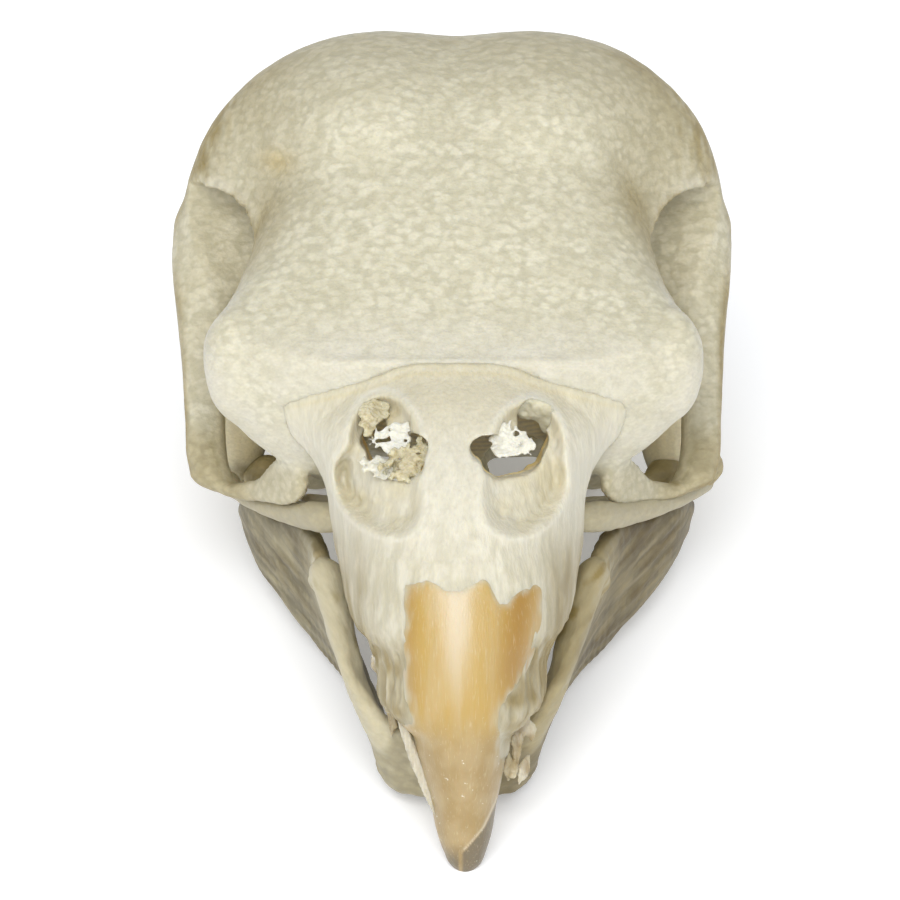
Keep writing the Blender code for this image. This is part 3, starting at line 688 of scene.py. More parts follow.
def headField(b):
    y = b.y.ravel()
    top = np.maximum(curveAt(cranium["crown"], y) - cranium["widest"], cranium["least"])[None, :, None]
    low = (cranium["widest"] - curveAt(cranium["floor"], y))[None, :, None]
    wide = curveAt(cranium["halfWidth"], y)[None, :, None]
    above = b.z > cranium["widest"]
    bend = np.where(above, curveAt(cranium["crownPower"], y)[None, :, None],
                    curveAt(cranium["floorPower"], y)[None, :, None])
    tall = np.where(above, top, low)
    u = np.abs(b.x) / wide
    v = np.abs(b.z - cranium["widest"]) / tall
    far = (u ** bend + v ** bend + 1e-9) ** (1 / bend)
    field = (far - 1) * wide
    field = np.maximum(field, np.maximum(-b.y, b.y - cranium["length"]) + 0 * field).astype(np.float32)
    field = smoothHigh(evened(field, b), cranium["frontEnd"] - b.y, cranium["frontRound"])
    for side in (-1, 1):
        placeOvals(join, field, b, side, cranium["brow"], cranium["cheekLobe"])
    return field


def billDomain(b, head):       # negative where solid belongs to the bill and not to the forehead
    across = np.abs(b.x.ravel())
    edge = curveAt(hinge["edge"], across)[:, None, None]
    reach = curveAt(hinge["side"], b.z.ravel())[None, None, :]
    domain = smoothHigh(b.z - edge, np.abs(b.x) - reach, hinge["cornerRound"]) + 0 * b.y
    domain = np.maximum(domain, -(head + hinge["deep"]))
    return np.maximum(domain, b.y - hinge["behind"])


def rimPath(b, head):          # along the upper edge of the left socket, just inside the surface
    path = []
    for y in np.linspace(*socket["rimSpan"], 22):
        z = float(curveAt(socket["roof"], y))
        column = head[:, int(np.abs(b.axes[1] - y).argmin()), int(np.abs(b.axes[2] - z).argmin())]
        edge = b.axes[0][np.nonzero(column < 0)[0][-1]]
        path.append((float(edge) + socket["rimShift"][0], y, z + socket["rimShift"][1]))
    return path


def socketNotch(b, side):      # one eye's notch: under the roof, between front and back, outward from the rim
    roof = np.abs(b.x) * 0 + b.z - curveAt(socket["roof"], b.y.ravel())[None, :, None]
    notch = smoothHigh(roof * socket["roofSlant"], socket["front"] - b.y, socket["frontRound"])
    slant = curveAt(socket["backSlant"], b.z.ravel())[None, None, :]
    slant = slant * np.maximum(side * b.x - socket["slantFrom"], 0)
    back = b.y + slant - curveAt(socket["back"], b.z.ravel())[None, None, :]
    notch = smoothHigh(notch, back, socket["backRound"])
    return b.part, smoothHigh(notch, socket["rimFrom"] - side * b.x, socket["rimRound"])


def craniumMasks(smooth, points, normals, rim, depth):
    tint = craniumTint
    lobe = smoothRows([*rim[:9], *socket["rimBelow"]], 60)
    tones = tonesOf({
        "x": np.abs(smooth[:, 0]), "y": smooth[:, 1], "z": smooth[:, 2], "depth": depth,
        "lobe": nearLine(points, lobe), "rim": nearLine(points, smoothRows(rim, 90)),
        "facing": normals @ tint["lookedAt"], "forward": -normals[:, 1],
        "inward": -normals[:, 0] * np.sign(points[:, 0]),
    }, craniumSpread)
    cream = np.maximum(tones.creamFront + tones.creamLobe, tones.creamRim) * tones.aboveBase
    cream = cream * (tint["creamLeast"] + grained(points, *tint["creamMottle"]))
    # inside the sockets, cavity and throat: brown painted lighter, standing in for light that their shade
    # keeps out
    hollowBrownAndPaintedLight = np.maximum(tones.socketBack, tones.socketWall) * tones.socketLow
    hollowBrownAndPaintedLight = np.maximum(np.maximum(hollowBrownAndPaintedLight, tones.cavity), tones.throat)
    cloud = tint["cloudLeast"] + grained(points, *tint["cloud"])
    # olive: a real warm tint mottled by cloud, plus painted limb shade where the braincase turns away from
    # the view
    oliveAndPaintedShade = tones.turnedAway * (tint["oliveLeast"] + tones.flank) * cloud * (1 - tones.limb)
    oliveAndPaintedShade = oliveAndPaintedShade * (1 + tones.streaks * grained(points, *tint["streaks"]))
    for share in (tones.archFront * (1 - cream), tones.corner, tones.footPlate, tones.archSide):
        oliveAndPaintedShade = np.maximum(oliveAndPaintedShade, share)
    stain = tint["stain"]
    away = ((points - stain["at"]) / stain["radii"]) ** 2
    return {"cream": cream, "oliveAndPaintedShade": oliveAndPaintedShade * (1 - hollowBrownAndPaintedLight), "hollowBrownAndPaintedLight": hollowBrownAndPaintedLight,
            "stain": stain["share"] * np.exp(-away.sum(axis=1))}


def makeCranium():
    b = makeBlock(*cranium["block"], cranium["cell"])
    field = headField(b)
    head = field.copy()
    for side in (-1, 1):
        carve(field, socketNotch(b, side), socket["edge"])
        placeOvals(carve, field, b, side, socket["cup"], socket["below"], socket["airWay"], base["temple"])
    rim = rimPath(b, head)
    for side in (-1, 1):
        join(field, rod(b, rim, socket["rimThick"], side, count=60), soft=0.16)
        join(field, strap(b, arch, side, power=2.6), soft=0.6)
        join(field, strap(b, footPlate, side, power=4.5), soft=0.22)
        placeOvals(join, field, b, side, base["corner"], base["process"], base["earRidge"])
        join(field, rod(b, base["ridge"], base["ridgeThick"], side), soft=0.3)
        placeOvals(carve, field, b, side, base["ear"])
    spots, thick = zip(*base["knob"])
    join(field, rod(b, spots, thick), soft=0.25)
    placeOvals(join, field, b, 1, base["backBump"], base["condyle"])
    join(field, strap(b, base["keel"]), soft=0.5)
    placeOvals(carve, field, b, 1, base["foramen"])
    w = window(b, *hinge["room"])
    domain = billDomain(w, head[w.part]) - hinge["gap"]
    field[w.part] = smoothHigh(field[w.part], -domain, hinge["edgeRound"])
    smooth, faces, normals = skinned(field, b)
    points = smooth + normals * grained(smooth, *cranium["lumps"])[:, None]
    lean = curveAt(cranium["sideways"], smooth[:, 2])
    points[:, 0] += lean * smoothStep(*cranium["straightUpTo"], smooth[:, 1])
    masks = craniumMasks(smooth, points, normals, rim, -sampled(head, b, points))
    return makePiece("craniumBone", points, faces, boneMaterial, ["cranium"], masks)


# upper bill: curves up z (the ridge, the back edge and the half width)
bill = {
    "block": ((-5.3, -5.7, -10.6), (5.4, 2.9, 0.6)),
    "cell": 0.07,
    "tip": (0.28, -4.1, -13.75),
    "culmen": ((-13.85, -3.95), (-13.6, -4.2), (-13.2, -4.45), (-12.2, -4.75), (-10.4, -5.15), (-8.2, -5.3),
               (-6, -5.0), (-3.8, -4.2), (-1.9, -3.0), (-0.6, -1.5), (0.0, -0.35), (0.3, 0.2)),
    "back": ((-13.85, -3.8), (-12.2, -3.55), (-10.4, -3.2), (-9.7, -2.95), (-9.1, -2.2), (-8.2, -1.6),
             (-7.2, -0.9), (-5.5, 0.2), (-3.5, 0.9), (-1.9, 2.4), (0.3, 2.4)),
    "halfWidth": ((-13.87, 0.12), (-13.6, 0.42), (-13.3, 0.56), (-12.6, 0.78), (-11.9, 0.9), (-11.2, 1.08),
                  (-10.4, 1.3), (-9.95, 1.42), (-9.6, 1.85), (-9.25, 2.25), (-8.6, 2.4), (-7.9, 2.5),
                  (-7.5, 2.72), (-7.2, 2.98), (-6.5, 3.28), (-5.9, 3.4), (-5.2, 3.55), (-4.2, 3.72),
                  (-3.4, 3.85), (-2.75, 4.1), (-2.1, 4.5), (-1.5, 4.6), (-0.9, 4.1), (-0.35, 3.0),
                  (0.3, 1.2)),
    "power": 1.75,
    "sidePower": 2.2,
    "least": 0.08,
    "top": 0.3,
    "wall": 1.15,
    "hollow": {"middle": -3.3, "half": 2.4, "back": 3.0, "endRound": 0.3, "round": 0.2},
    "headJoin": 0.9,
    "headSunk": 0.02,
    "edgeRound": 0.03,
    "grain": (((1, 1, 0.22), 0.16, 0.012), (even, 0.3, 0.01)),
    "wornGrain": (((1, 1, 0.22), 0.16, 0.02),),
    "dishGrain": ((even, 0.24, 0.04),),
    "flakes": (((1, 1, 0.45), 0.42, 1), ((1, 1, 0.5), 0.2, 0.5)),
    "flakeLevel": 0.5,
    "flakeHigh": 0.13,
}


def billField(b, inset=0.0, back=0.0):
    z = b.z.ravel()
    shift = (bill["tip"][0] * np.clip(z / bill["tip"][2], 0, 1))[None, None, :]
    wide = np.maximum(curveAt(bill["halfWidth"], z) - inset, bill["least"])[None, None, :]
    rear = (curveAt(bill["back"], z) + back)[None, None, :]
    ahead = (curveAt(bill["culmen"], z) + inset)[None, None, :]
    u = np.abs(b.x - shift) / wide
    v = np.maximum(rear - b.y, 0) / np.maximum(rear - ahead, bill["least"])
    far = (u ** bill["sidePower"] + v ** bill["power"] + 1e-9) ** 0.5
    field = (far - 1) * np.minimum(wide, rear - ahead)
    field = np.maximum(field, b.y - rear)
    ends = np.maximum(bill["tip"][2] - bill["least"] - b.z, b.z - bill["top"])
    return evened(np.maximum(field, ends + 0 * field).astype(np.float32), b)


# each nostril: a shallow basin in the bill with a hole in its upper part; ovals seen from the front
nostril = {
    "basin": {
        -1: (((-2.0, -1.9), (1.1, 1.35)), ((-2.25, -2.9), (1.3, 1.25)), ((-1.85, -3.4), (0.95, 0.85))),
        1: (((2.05, -2.0), (1.1, 1.3)), ((2.0, -2.9), (1.25, 1.15)), ((1.8, -3.4), (1.0, 0.8))),
    },
    "room": ((-4, -5.7, -4.8), (4, 2.9, 0.2)),
    "depth": 0.5,
    "slope": (0.04, -0.42),          # from where to where, past its edge, the basin deepens
    "basinRound": 0.05,
    "lip": (0.06, 0.06, 0.14),       # height, distance from the basin's edge and width
    "paleRing": (0.08, 0.09),
    "ragged": ((1, 0, 1), 0.4, 0.05),
    "hole": {
        -1: (((-2.32, -1.2), (0.36, 0.4)), ((-2.2, -1.85), (0.46, 0.5)), ((-1.1, -1.85), (0.32, 0.3)),
             ((-1.65, -2.3), (0.8, 0.48))),
        1: (((2.25, -1.2), (0.5, 0.46)), ((2.15, -1.8), (0.5, 0.5)), ((0.85, -1.85), (0.45, 0.33)),
            ((1.6, -2.3), (0.78, 0.44))),
    },
    "holeJoin": 0.12,
    "holeRound": 0.08,
}
sheath = {
    "block": ((-2.3, -5.7, -14.0), (3.0, -2.0, -4.9)),
    "cell": 0.06,
    "left": ((-14, -3), (-9.9, -2.2), (-9.5, -1.42), (-9.0, -1.48), (-5.0, -1.5)),
    "right": ((-14, 3), (-11.6, 1.6), (-10.6, 1.48), (-9.9, 1.42), (-9.2, 1.36), (-8.8, 1.45), (-8.2, 1.95),
              (-7.2, 2.42), (-6.1, 2.6), (-5, 2.6)),
    "top": ((-1.6, -5.45), (-0.6, -5.3), (-0.4, -5.4), (0.3, -5.4), (0.5, -5.25), (0.95, -5.3), (1.15, -5.75),
            (1.45, -5.85), (1.8, -5.6), (2.1, -5.5), (2.4, -5.5), (2.7, -5.8)),
    "thick": 0.6,
    "proud": 0.035,
    "proudFrom": 0.4,          # how far in from its edge the horn stands fully proud
    "thinEdge": (0.02, 0.2),   # how much lower the edge lies, and how wide that is
    "edgeRound": 0.03,
    "under": 0.35,
    "whole": (-9.9, 3, 0.8),   # all horn below this height, by how much thicker, over how long
    "bevel": ((1.25, -11.6), (0.8, -12.45), (0.15, -13.2)),
    "grain": (((1, 1, 0.12), 0.16, 0.008),),
    "ragged": (((1, 1, 0.5), 0.22, 0.14), ((1, 0, 0.3), 0.1, 0.1)),
    "fade": (0.2, -0.38),
}


def ovalsDistance(x, z, ovals, soft=0.25):    # distance, in front view, to the edge of a group of ovals
    total = None
    for (cx, cz), (rx, rz) in ovals:
        far = np.sqrt(((x - cx) / rx) ** 2 + ((z - cz) / rz) ** 2 + 1e-9)
        value = (far - 1) * min(rx, rz)
        total = value if total is None else smoothLow(total, value, soft)
    return total


def sheathDomain(b, front):    # negative where the bill is horn
    left = curveAt(sheath["left"], b.z.ravel())[None, None, :]
    right = curveAt(sheath["right"], b.z.ravel())[None, None, :]
    top = curveAt(sheath["top"], b.x.ravel())[:, None, None]
    domain = np.maximum(np.maximum(left - b.x, b.x - right), b.z - top) + 0 * b.y
    below, more, over = sheath["whole"]
    thick = sheath["thick"] + more * np.clip((below - b.z) / over, 0, 1)
    return np.maximum(domain, -(front + thick))


billSpread = {      # basin is away from the nostrils' edge, flakes the height of the worn part's flakes
    "dish": (1, ("basin", 0.02, -0.35), ("y", 0.5, 0)),
    "worn": (1, ("z", -6.6, -7.6), ("x", 1.1, 1.7)),
    "creamTop": (0.75, ("z", -6.5, -2.5)),
    "creamFlakes": (0.9, ("flakes", 0.05, 0.35)),
    # flank: olive darkening towards the bill's sides, partly real tint and partly painted shade where the
    # sides turn away
    "flank": (1, ("x", 1.9, 3.3), ("z", -3.5, -6)),
    "low": (1, ("z", -6.2, -8.0)),
    "browned": (0.3, ("z", -2.2, -0.4)),
}
billTint = {
    "seams": ((0.25, 0.24, 0.06), (0.15, 0.03, 0.05)),      # strength, distance below the hinge and width
    "flankLeast": 0.75,
    "flankMottle": (((1, 1, 0.3), 0.5, 0.5),),
    "low": (0.35, 0.5),                                     # olive low down, and more where it's worn
    "lowLeast": 0.9,
    "lowMottle": ((even, 0.4, 0.5),),
    "dishLeast": 0.3,
    "dishMottle": ((even, 0.5, 0.35),),
    "innerFrom": (0.4, 0.8),      # depth where the inside's brown starts and is full
    "dishDepth": 0.45,
}


def billMasks(smooth, points, tones, basin, depth):
    tint = billTint
    # inside the bill: brown painted lighter, standing in for light that the shade in the hollow keeps out
    hollowBrownAndPaintedLight = smoothStep(*tint["innerFrom"], depth - tint["dishDepth"] * tones.dish)
    ring = bell(basin, *nostril["paleRing"])
    cream = tones.creamTop + tones.worn * tones.creamFlakes
    least, more = tint["low"]
    oliveAndPaintedShade = tones.flank * (tint["flankLeast"] + grained(points, *tint["flankMottle"]))
    mottle = tint["lowLeast"] + grained(points, *tint["lowMottle"])
    oliveAndPaintedShade = oliveAndPaintedShade + (least + more * tones.worn) * tones.low * mottle
    below = curveAt(hinge["edge"], np.abs(smooth[:, 0])) - smooth[:, 2]
    stain = sum(strength * bell(below, middle, width) for strength, middle, width in tint["seams"])
    stain = stain + tones.browned * (1 - ring)
    stain = stain + tones.dish * (tint["dishLeast"] + grained(points, *tint["dishMottle"]))
    return {"cream": np.maximum(cream, ring), "oliveAndPaintedShade": oliveAndPaintedShade, "stain": stain * (1 - hollowBrownAndPaintedLight), "hollowBrownAndPaintedLight": hollowBrownAndPaintedLight}


def makeBill():
    b = makeBlock(*bill["block"], bill["cell"])
    head = headField(b)
    front = billField(b)
    field = smoothLow(front, head + bill["headSunk"], bill["headJoin"])
    w = window(b, *nostril["room"])
    skinDepth = field[w.part].copy()
    uneven = grained(np.stack(np.broadcast_arrays(w.x, w.y, w.z), -1), nostril["ragged"])
    high, middle, width = nostril["lip"]
    for side in (-1, 1):
        edge = ovalsDistance(w.x, w.z, nostril["basin"][side])
        depth = nostril["depth"] * smoothStep(*nostril["slope"], edge) + 0 * w.y
        lip = high * bell(edge, middle, width) + 0 * w.y
        field[w.part] = smoothHigh(field[w.part] - lip, skinDepth + depth - lip, nostril["basinRound"])
    field = smoothHigh(field, billDomain(b, head), bill["edgeRound"])
    hollow = bill["hollow"]
    inside = billField(b, bill["wall"], hollow["back"])
    inside = smoothHigh(inside, np.abs(b.z - hollow["middle"]) - hollow["half"], hollow["endRound"])
    carve(field, (b.part, inside), hollow["round"])
    for side in (-1, 1):
        hole = ovalsDistance(w.x, w.z, nostril["hole"][side], nostril["holeJoin"]) + uneven
        carve(field, (w.part, hole), nostril["holeRound"])
    field = np.maximum(field, -(sheathDomain(b, front) + sheath["under"]))
    smooth, faces, normals = skinned(field, b)
    x, y, z = smooth.T
    basin = np.minimum(*[ovalsDistance(x, z, nostril["basin"][side]) for side in (-1, 1)])
    flakes = bill["flakeLevel"] - sum(np.abs(grained(smooth, layer)) for layer in bill["flakes"])
    tones = tonesOf({"x": np.abs(x), "y": y, "z": z, "basin": basin, "flakes": flakes}, billSpread)
    dish, worn = tones.dish, tones.worn
    lines = grained(smooth, *bill["grain"]) + dish * grained(smooth, *bill["dishGrain"])
    lines = lines + worn * (grained(smooth, *bill["wornGrain"]) + bill["flakeHigh"] * flakes)
    points = smooth + normals * lines[:, None]
    masks = billMasks(smooth, points, tones, basin, -sampled(np.minimum(front, head), b, smooth))
    return makePiece("upperBillBone", points, faces, billMaterial, ["upper_bill_bone"], masks)


hornSpread = {      # crease is to the left of the tip's bevel
    # ridge: where the painted highlight down the middle of the sheath shows
    "ridge": (1, ("z", -9.5, -6.5)),
    "low": (0.9, ("z", -8.6, -10.6)),
    "bandLeft": (1, ("z", -9.8, -7.5)),
    "bandRight": (0.5, ("z", -9.6, -8.4)),
    "bevel": (1, ("crease", -0.1, 0.1), ("z", -11.4, -11.8)),
    "tip": (1, ("z", -12.8, -13.6)),
    "line": (1, ("z", -11.3, -11.8)),
    "lineTop": (1.2, ("z", -13.2, -13.0)),
}
hornBands = {      # middle and width across the bill
    # ridge: the band of the painted highlight down the middle of the sheath
    "ridge": (0.02, 0.42),
    "left": (1.75, 0.5),
    "leftLean": (0.1, -7),      # how far it leans for each mm above this height
    "right": (-1.3, 0.25),
    "line": (0, 0.05),
}


def sheathSpread(points):      # how strongly the horn's colour shows at each point
    x, z = points[:, 0], points[:, 2]
    out = np.maximum(np.maximum(curveAt(sheath["left"], z) - x, x - curveAt(sheath["right"], z)),
                     z - curveAt(sheath["top"], x))
    return smoothStep(*sheath["fade"], out + grained(points, *sheath["ragged"]))


def makeSheath():
    b = makeBlock(*sheath["block"], sheath["cell"])
    front = billField(b)
    domain = sheathDomain(b, front)
    lower, width = sheath["thinEdge"]
    rise = sheath["proud"] * smoothStep(0.0, sheath["proudFrom"], -domain)
    rise = rise - lower * smoothStep(width, 0.0, -domain)
    points, faces, normals = skinned(smoothHigh(front - rise, domain, sheath["edgeRound"]), b)
    points = points + normals * grained(points, *sheath["grain"])[:, None]
    x, z = points[:, 0], points[:, 2]
    across, down = np.array(sheath["bevel"])[::-1].T
    crease = x - np.interp(z, down, across)
    tones = tonesOf({"z": z, "crease": crease}, hornSpread)
    lean, level = hornBands["leftLean"]
    lean = lean * (z - level)
    dark = tones.bandLeft * bell(x - lean, *hornBands["left"])
    dark = dark + tones.bandRight * bell(x, *hornBands["right"])
    line = tones.line * bell(crease, *hornBands["line"])
    masks = {
        # a painted highlight down the middle of the sheath, and a pale line along the bevel's crease near the
        # tip
        "paleLineAndPaintedHighlight": np.maximum(tones.ridge * bell(x, *hornBands["ridge"]), tones.lineTop * line),
        "low": tones.low,
        "dark": dark,
        "grey": np.maximum(tones.bevel, tones.tip) * (1 - line),
        "bone": 1 - sheathSpread(points),
    }
    return makePiece("billSheath", points, faces, hornMaterial, ["bill_sheath"], masks)


# lower jaw, told for the left half from back to chin: middle, half height, half thickness, lean, flare
jaw = {
    "block": ((-7.2, -2.9, -12.9), (7.2, 11.3, -5.0)),
    "cell": 0.08,
    "rows": (
        ((6.3, 10.3, -5.78), 0.48, 0.4, 0.0, 0.25),
        ((6.35, 9.5, -5.74), 0.77, 0.37, 0.0, 0.28),
        ((6.02, 8.0, -6.0), 1.1, 0.36, 0.0, 0.24),
        ((5.26, 6.3, -6.45), 1.42, 0.36, 0.0, 0.2),
        ((4.2, 4.2, -7.0), 2.0, 0.33, 0.05, 0.2),
        ((3.45, 2.2, -8.0), 2.1, 0.3, 0.10, 0.32),
        ((2.9, 0.6, -9.05), 1.9, 0.3, 0.15, 0.42),
        ((2.38, -0.65, -10.15), 1.7, 0.3, 0.25, 0.4),
        ((1.9, -1.4, -10.8), 1.3, 0.34, 0.40, 0.3),
        ((1.1, -1.85, -11.05), 1.12, 0.4, 0.42, 0.2),
        ((0.0, -2.0, -11.1), 1.05, 0.44, 0.42, 0.0),
    ),
    "askew": 0.03,
    "askewFrom": -2.0,
    "power": 3.2,
    "crest": ((4.1, 2.3, -6.45), (3.85, 1.6, -6.15), (3.62, 1.0, -6.7), (3.44, 0.5, -7.2), (3.22, -0.1, -7.8),
              (3.02, -0.6, -8.35), (2.82, -1.0, -8.95), (2.55, -1.4, -9.5), (2.2, -1.75, -10.0)),
    "crestThick": (0.3, 0.46, 0.44, 0.4, 0.35, 0.29, 0.26, 0.25, 0.24),
    "grainWay": (0.36, 0.86, 0.36),      # forward, down and inward along each half
    "leftGrainShift": (9.0, 5.0, 7.0),
    "lines": (((1, 0.16, 1), 0.2, 0.03), ((1, 0.3, 1), 0.5, 0.03)),
    "streaks": (((1, 0.16, 1), 0.22, 1),),
    # the left half (x above zero) is painted in shade: less cream on the crest and front, more olive
    "crestCream": (0.85, -0.15),      # on the right half, and how that changes on the left
    "frontCream": (0.3, -0.15),
    "oliveAndPaintedShade": (0.15, 0.5),
}
jawSpread = {      # crest is away from the tooth-like crest
    # left: painted shade over the jaw's left half
    "left": (1, ("x", -0.5, 0.5)),
    "crest": (1, ("crest", 0.95, 0.45)),
    "upper": (0.35, ("crest", 2.2, 0.8), ("z", -8.0, -6.5)),
    "chin": (0.12, ("y", -0.6, -1.8)),
    "front": (1, ("y", 0.0, -1.2)),
    "paleStreaks": (0.25, ("streak", 0.1, 0.7)),
    "darkStreaks": (0.5, ("streak", 0.0, -0.6)),
}


def drifted(points):
    points = points.copy()
    points[:, 0] += jaw["askew"] * (points[:, 1] - jaw["askewFrom"])
    return points


def makeJaw():
    b = makeBlock(*jaw["block"], jaw["cell"])
    field = emptyField(b)
    half = jaw["rows"]
    rows = []
    for side, halfRows in ((-1, half[:-1]), (1, half[::-1])):
        rows += [((side * x, y, z), high, thick, (side * flare, -lean, 1))
                 for (x, y, z), high, thick, lean, flare in halfRows]
    join(field, strap(b, rows, 1, jaw["power"], count=110), soft=0.05)
    for side in (-1, 1):
        join(field, rod(b, jaw["crest"], jaw["crestThick"], side), soft=0.25)
    points, faces, normals = skinned(field, b)
    along = np.array(jaw["grainWay"])
    across = np.cross(along, (0, 0, 1))
    folded = np.abs(points) * (1, 0, 0) + points * (0, 1, 1)
    grain = folded @ np.stack((across / np.linalg.norm(across), along, np.cross(across, along))).T
    grain = grain + (points[:, :1] > 0) * np.array(jaw["leftGrainShift"])
    points = drifted(points + normals * grained(grain, *jaw["lines"])[:, None])
    tones = tonesOf({
        "x": points[:, 0], "y": points[:, 1], "z": points[:, 2], "streak": grained(grain, *jaw["streaks"]),
        "crest": nearLine(points, smoothRows(jaw["crest"], 40)),
    }, jawSpread)
    crest, front, oliveAndPaintedShade = [least + change * tones.left for least, change in (
        jaw["crestCream"], jaw["frontCream"], jaw["oliveAndPaintedShade"])]
    masks = {
        "cream": crest * tones.crest + front * tones.front + tones.upper + tones.chin + tones.paleStreaks,
        "oliveAndPaintedShade": oliveAndPaintedShade + tones.darkStreaks * (1 - tones.front),
    }
    return makePiece("lowerJaw", points, faces, shadedJawMaterial, ["mandible"], masks, grain)


# slender bones between the bill, the jaw and the ear region, told for the left side
slender = {
    "cell": 0.06,
    "soft": 0.25,
    "lumps": ((even, 0.4, 0.02),),
    "room": {
        "cheekBar": ((2.7, 0.1, -5.3), (8.0, 10.3, -3.8)),
        "pterygoid": ((0.6, 6.2, -5.7), (5.3, 9.8, -4.6)),
        "palatine": ((1.2, 0.6, -8.0), (3.1, 9.6, -4.2)),
        "quadrate": ((4.5, 7.6, -5.3), (7.2, 11.0, -3.4)),
        "sheathFlake": ((-2.2, -4.6, -12.8), (0.1, -2.6, -8.4)),
    },
    "cheekBar": ((3.2, 0.6, -4.35), (3.95, 1.5, -4.45), (4.8, 3.2, -4.6), (5.9, 5.5, -4.65),
                 (6.75, 7.6, -4.58), (7.1, 9.0, -4.5)),
    "cheekThick": (0.4, 0.45, 0.38, 0.3, 0.28, 0.32),
    "hanger": {"at": (6.0, 9.8, -4.3), "radii": (0.55, 0.85, 0.48)},
    "fork": ((5.9, 9.7, -4.35), (5.45, 9.0, -4.5), (5.0, 8.4, -4.6)),
    "forkThick": 0.28,
    "foot": ((5.8, 9.5, -4.42), (6.3, 9.7, -4.47)),
    "footThick": 0.38,
    "pterygoidThick": 0.3,
    "pterygoid": ((4.7, 9.2, -5.2), (3.0, 8.0, -5.15), (1.2, 6.8, -5.1)),
    "palatine": (
        ((2.4, 1.2, -4.75), 0.32, 0.45, (0, 0, 1)),
        ((2.35, 3.2, -5.2), 0.35, 0.38, (0, 0, 1)),
        ((2.2, 4.8, -6.15), 0.65, 0.26, (0, 0, 1)),
        ((2.0, 6.4, -6.65), 0.88, 0.24, (0, 0, 1)),
        ((1.8, 8.0, -6.8), 0.92, 0.24, (0, 0, 1)),
        ((1.7, 9.0, -6.8), 0.55, 0.24, (0, 0, 1)),
    ),
}


def makeSlender(name, shapes, room, side, look, slotName, nodes, drift=True, tint=(0.65, 0.2)):
    low, high = np.array(room)
    if side < 0:
        low, high = np.array((-high[0], *low[1:])), np.array((-low[0], *high[1:]))
    b = makeBlock(low, high, slender["cell"])
    field = emptyField(b)
    for shape in shapes:
        join(field, shape(b, side), slender["soft"])
    points, faces, normals = skinned(field, b)
    points = points + normals * grained(points, *slender["lumps"])[:, None]
    if drift:
        points = drifted(points)
    cream, oliveAndPaintedShade = np.full((2, len(points)), np.reshape(tint, (2, 1)))
    return makePiece(name, points, faces, look, nodes, {"cream": cream, "oliveAndPaintedShade": oliveAndPaintedShade})


def makeSlenderBones():
    shapes = {
        "cheekBar": [lambda b, s: rod(b, slender["cheekBar"], slender["cheekThick"], s)],
        "pterygoid": [lambda b, s: rod(b, slender["pterygoid"], slender["pterygoidThick"], s)],
        "palatine": [lambda b, s: strap(b, slender["palatine"], s, power=2.4)],
        "quadrate": [lambda b, s: oval(b, side=s, **slender["hanger"]),
                     lambda b, s: rod(b, slender["fork"], slender["forkThick"], s),
                     lambda b, s: rod(b, slender["foot"], slender["footThick"], s)],
    }
    ways = {
        "cheekBar": (shadedJawMaterial, "jaw_bone", "jugal_bar", {}),
        "pterygoid": (boneMaterial, "bone", "pterygoid", {}),
        "palatine": (boneMaterial, "bone", "palatine", {"drift": False}),
        "quadrate": (boneMaterial, "bone", "quadrate", {"tint": (0.1, 0.9)}),
    }
    for side, word in ((-1, "Right"), (1, "Left")):
        for bone, (look, slotName, node, more) in ways.items():
            makeSlender(bone + word, shapes[bone], slender["room"][bone], side, look, slotName,
                        [f"{node}_{word.lower()}"], **more)


# flakes in the nostrils: thin, torn plates, each told by ovals seen from the front, its depth at their
# middle and how that slopes
flake = {"thick": 0.13, "torn": 0.17, "holes": 0.6, "slot": "pale_bone", "nodes": [], "look": "flake"}
tissue = {"slot": "horn", "nodes": [], "look": "tissue"}
scraps = {
    "nostrilFlakeRight": dict(
        flake, nodes=["nostril_flake_right"], cream=0.8, depth=-2.05, slope=(0.1, -0.7),
        ovals=(((-2.0, -1.74), (0.46, 0.24)), ((-1.68, -1.82), (0.38, 0.3)), ((-1.6, -1.5), (0.36, 0.26)))),
    "nostrilFlakeLeft": dict(
        flake, nodes=["nostril_flake_left"], cream=0.8, depth=-2.08, slope=(-0.1, -0.7),
        ovals=(((1.3, -1.75), (0.36, 0.34)), ((1.62, -1.85), (0.44, 0.27)), ((1.95, -1.68), (0.22, 0.24)),
               ((1.35, -1.4), (0.3, 0.3)))),
    "driedTissueUpper": dict(
        tissue, cream=0.0, depth=-1.2, slope=(0.3, -0.8), thick=0.2, torn=0.12, holes=0.7,
        ovals=(((-2.3, -1.0), (0.45, 0.3)), ((-2.5, -1.35), (0.2, 0.35)))),
    "driedTissueLower": dict(
        tissue, cream=0.3, depth=-2.28, slope=(0.1, -0.5), thick=0.34, torn=0.26, holes=0.55,
        ovals=(((-1.45, -2.35), (0.6, 0.4)), ((-1.1, -2.1), (0.34, 0.42)), ((-0.95, -1.8), (0.12, 0.3)))),
    "bottomFlake": dict(
        flake, cream=0.3, depth=-2.35, slope=(0.1, -0.4), thick=0.14, torn=0.14,
        ovals=(((-2.15, -2.4), (0.5, 0.26)), ((-1.75, -2.64), (0.46, 0.2)))),
    "innerScroll": dict(
        slot="bone", nodes=[], look="bone", cream=0.0, depth=-0.62, slope=(-0.35, 0.7), thick=0.2, torn=0.03,
        holes=0.95, ovals=(((2.15, -1.0), (0.6, 0.32)), ((2.6, -1.35), (0.2, 0.4)))),
}
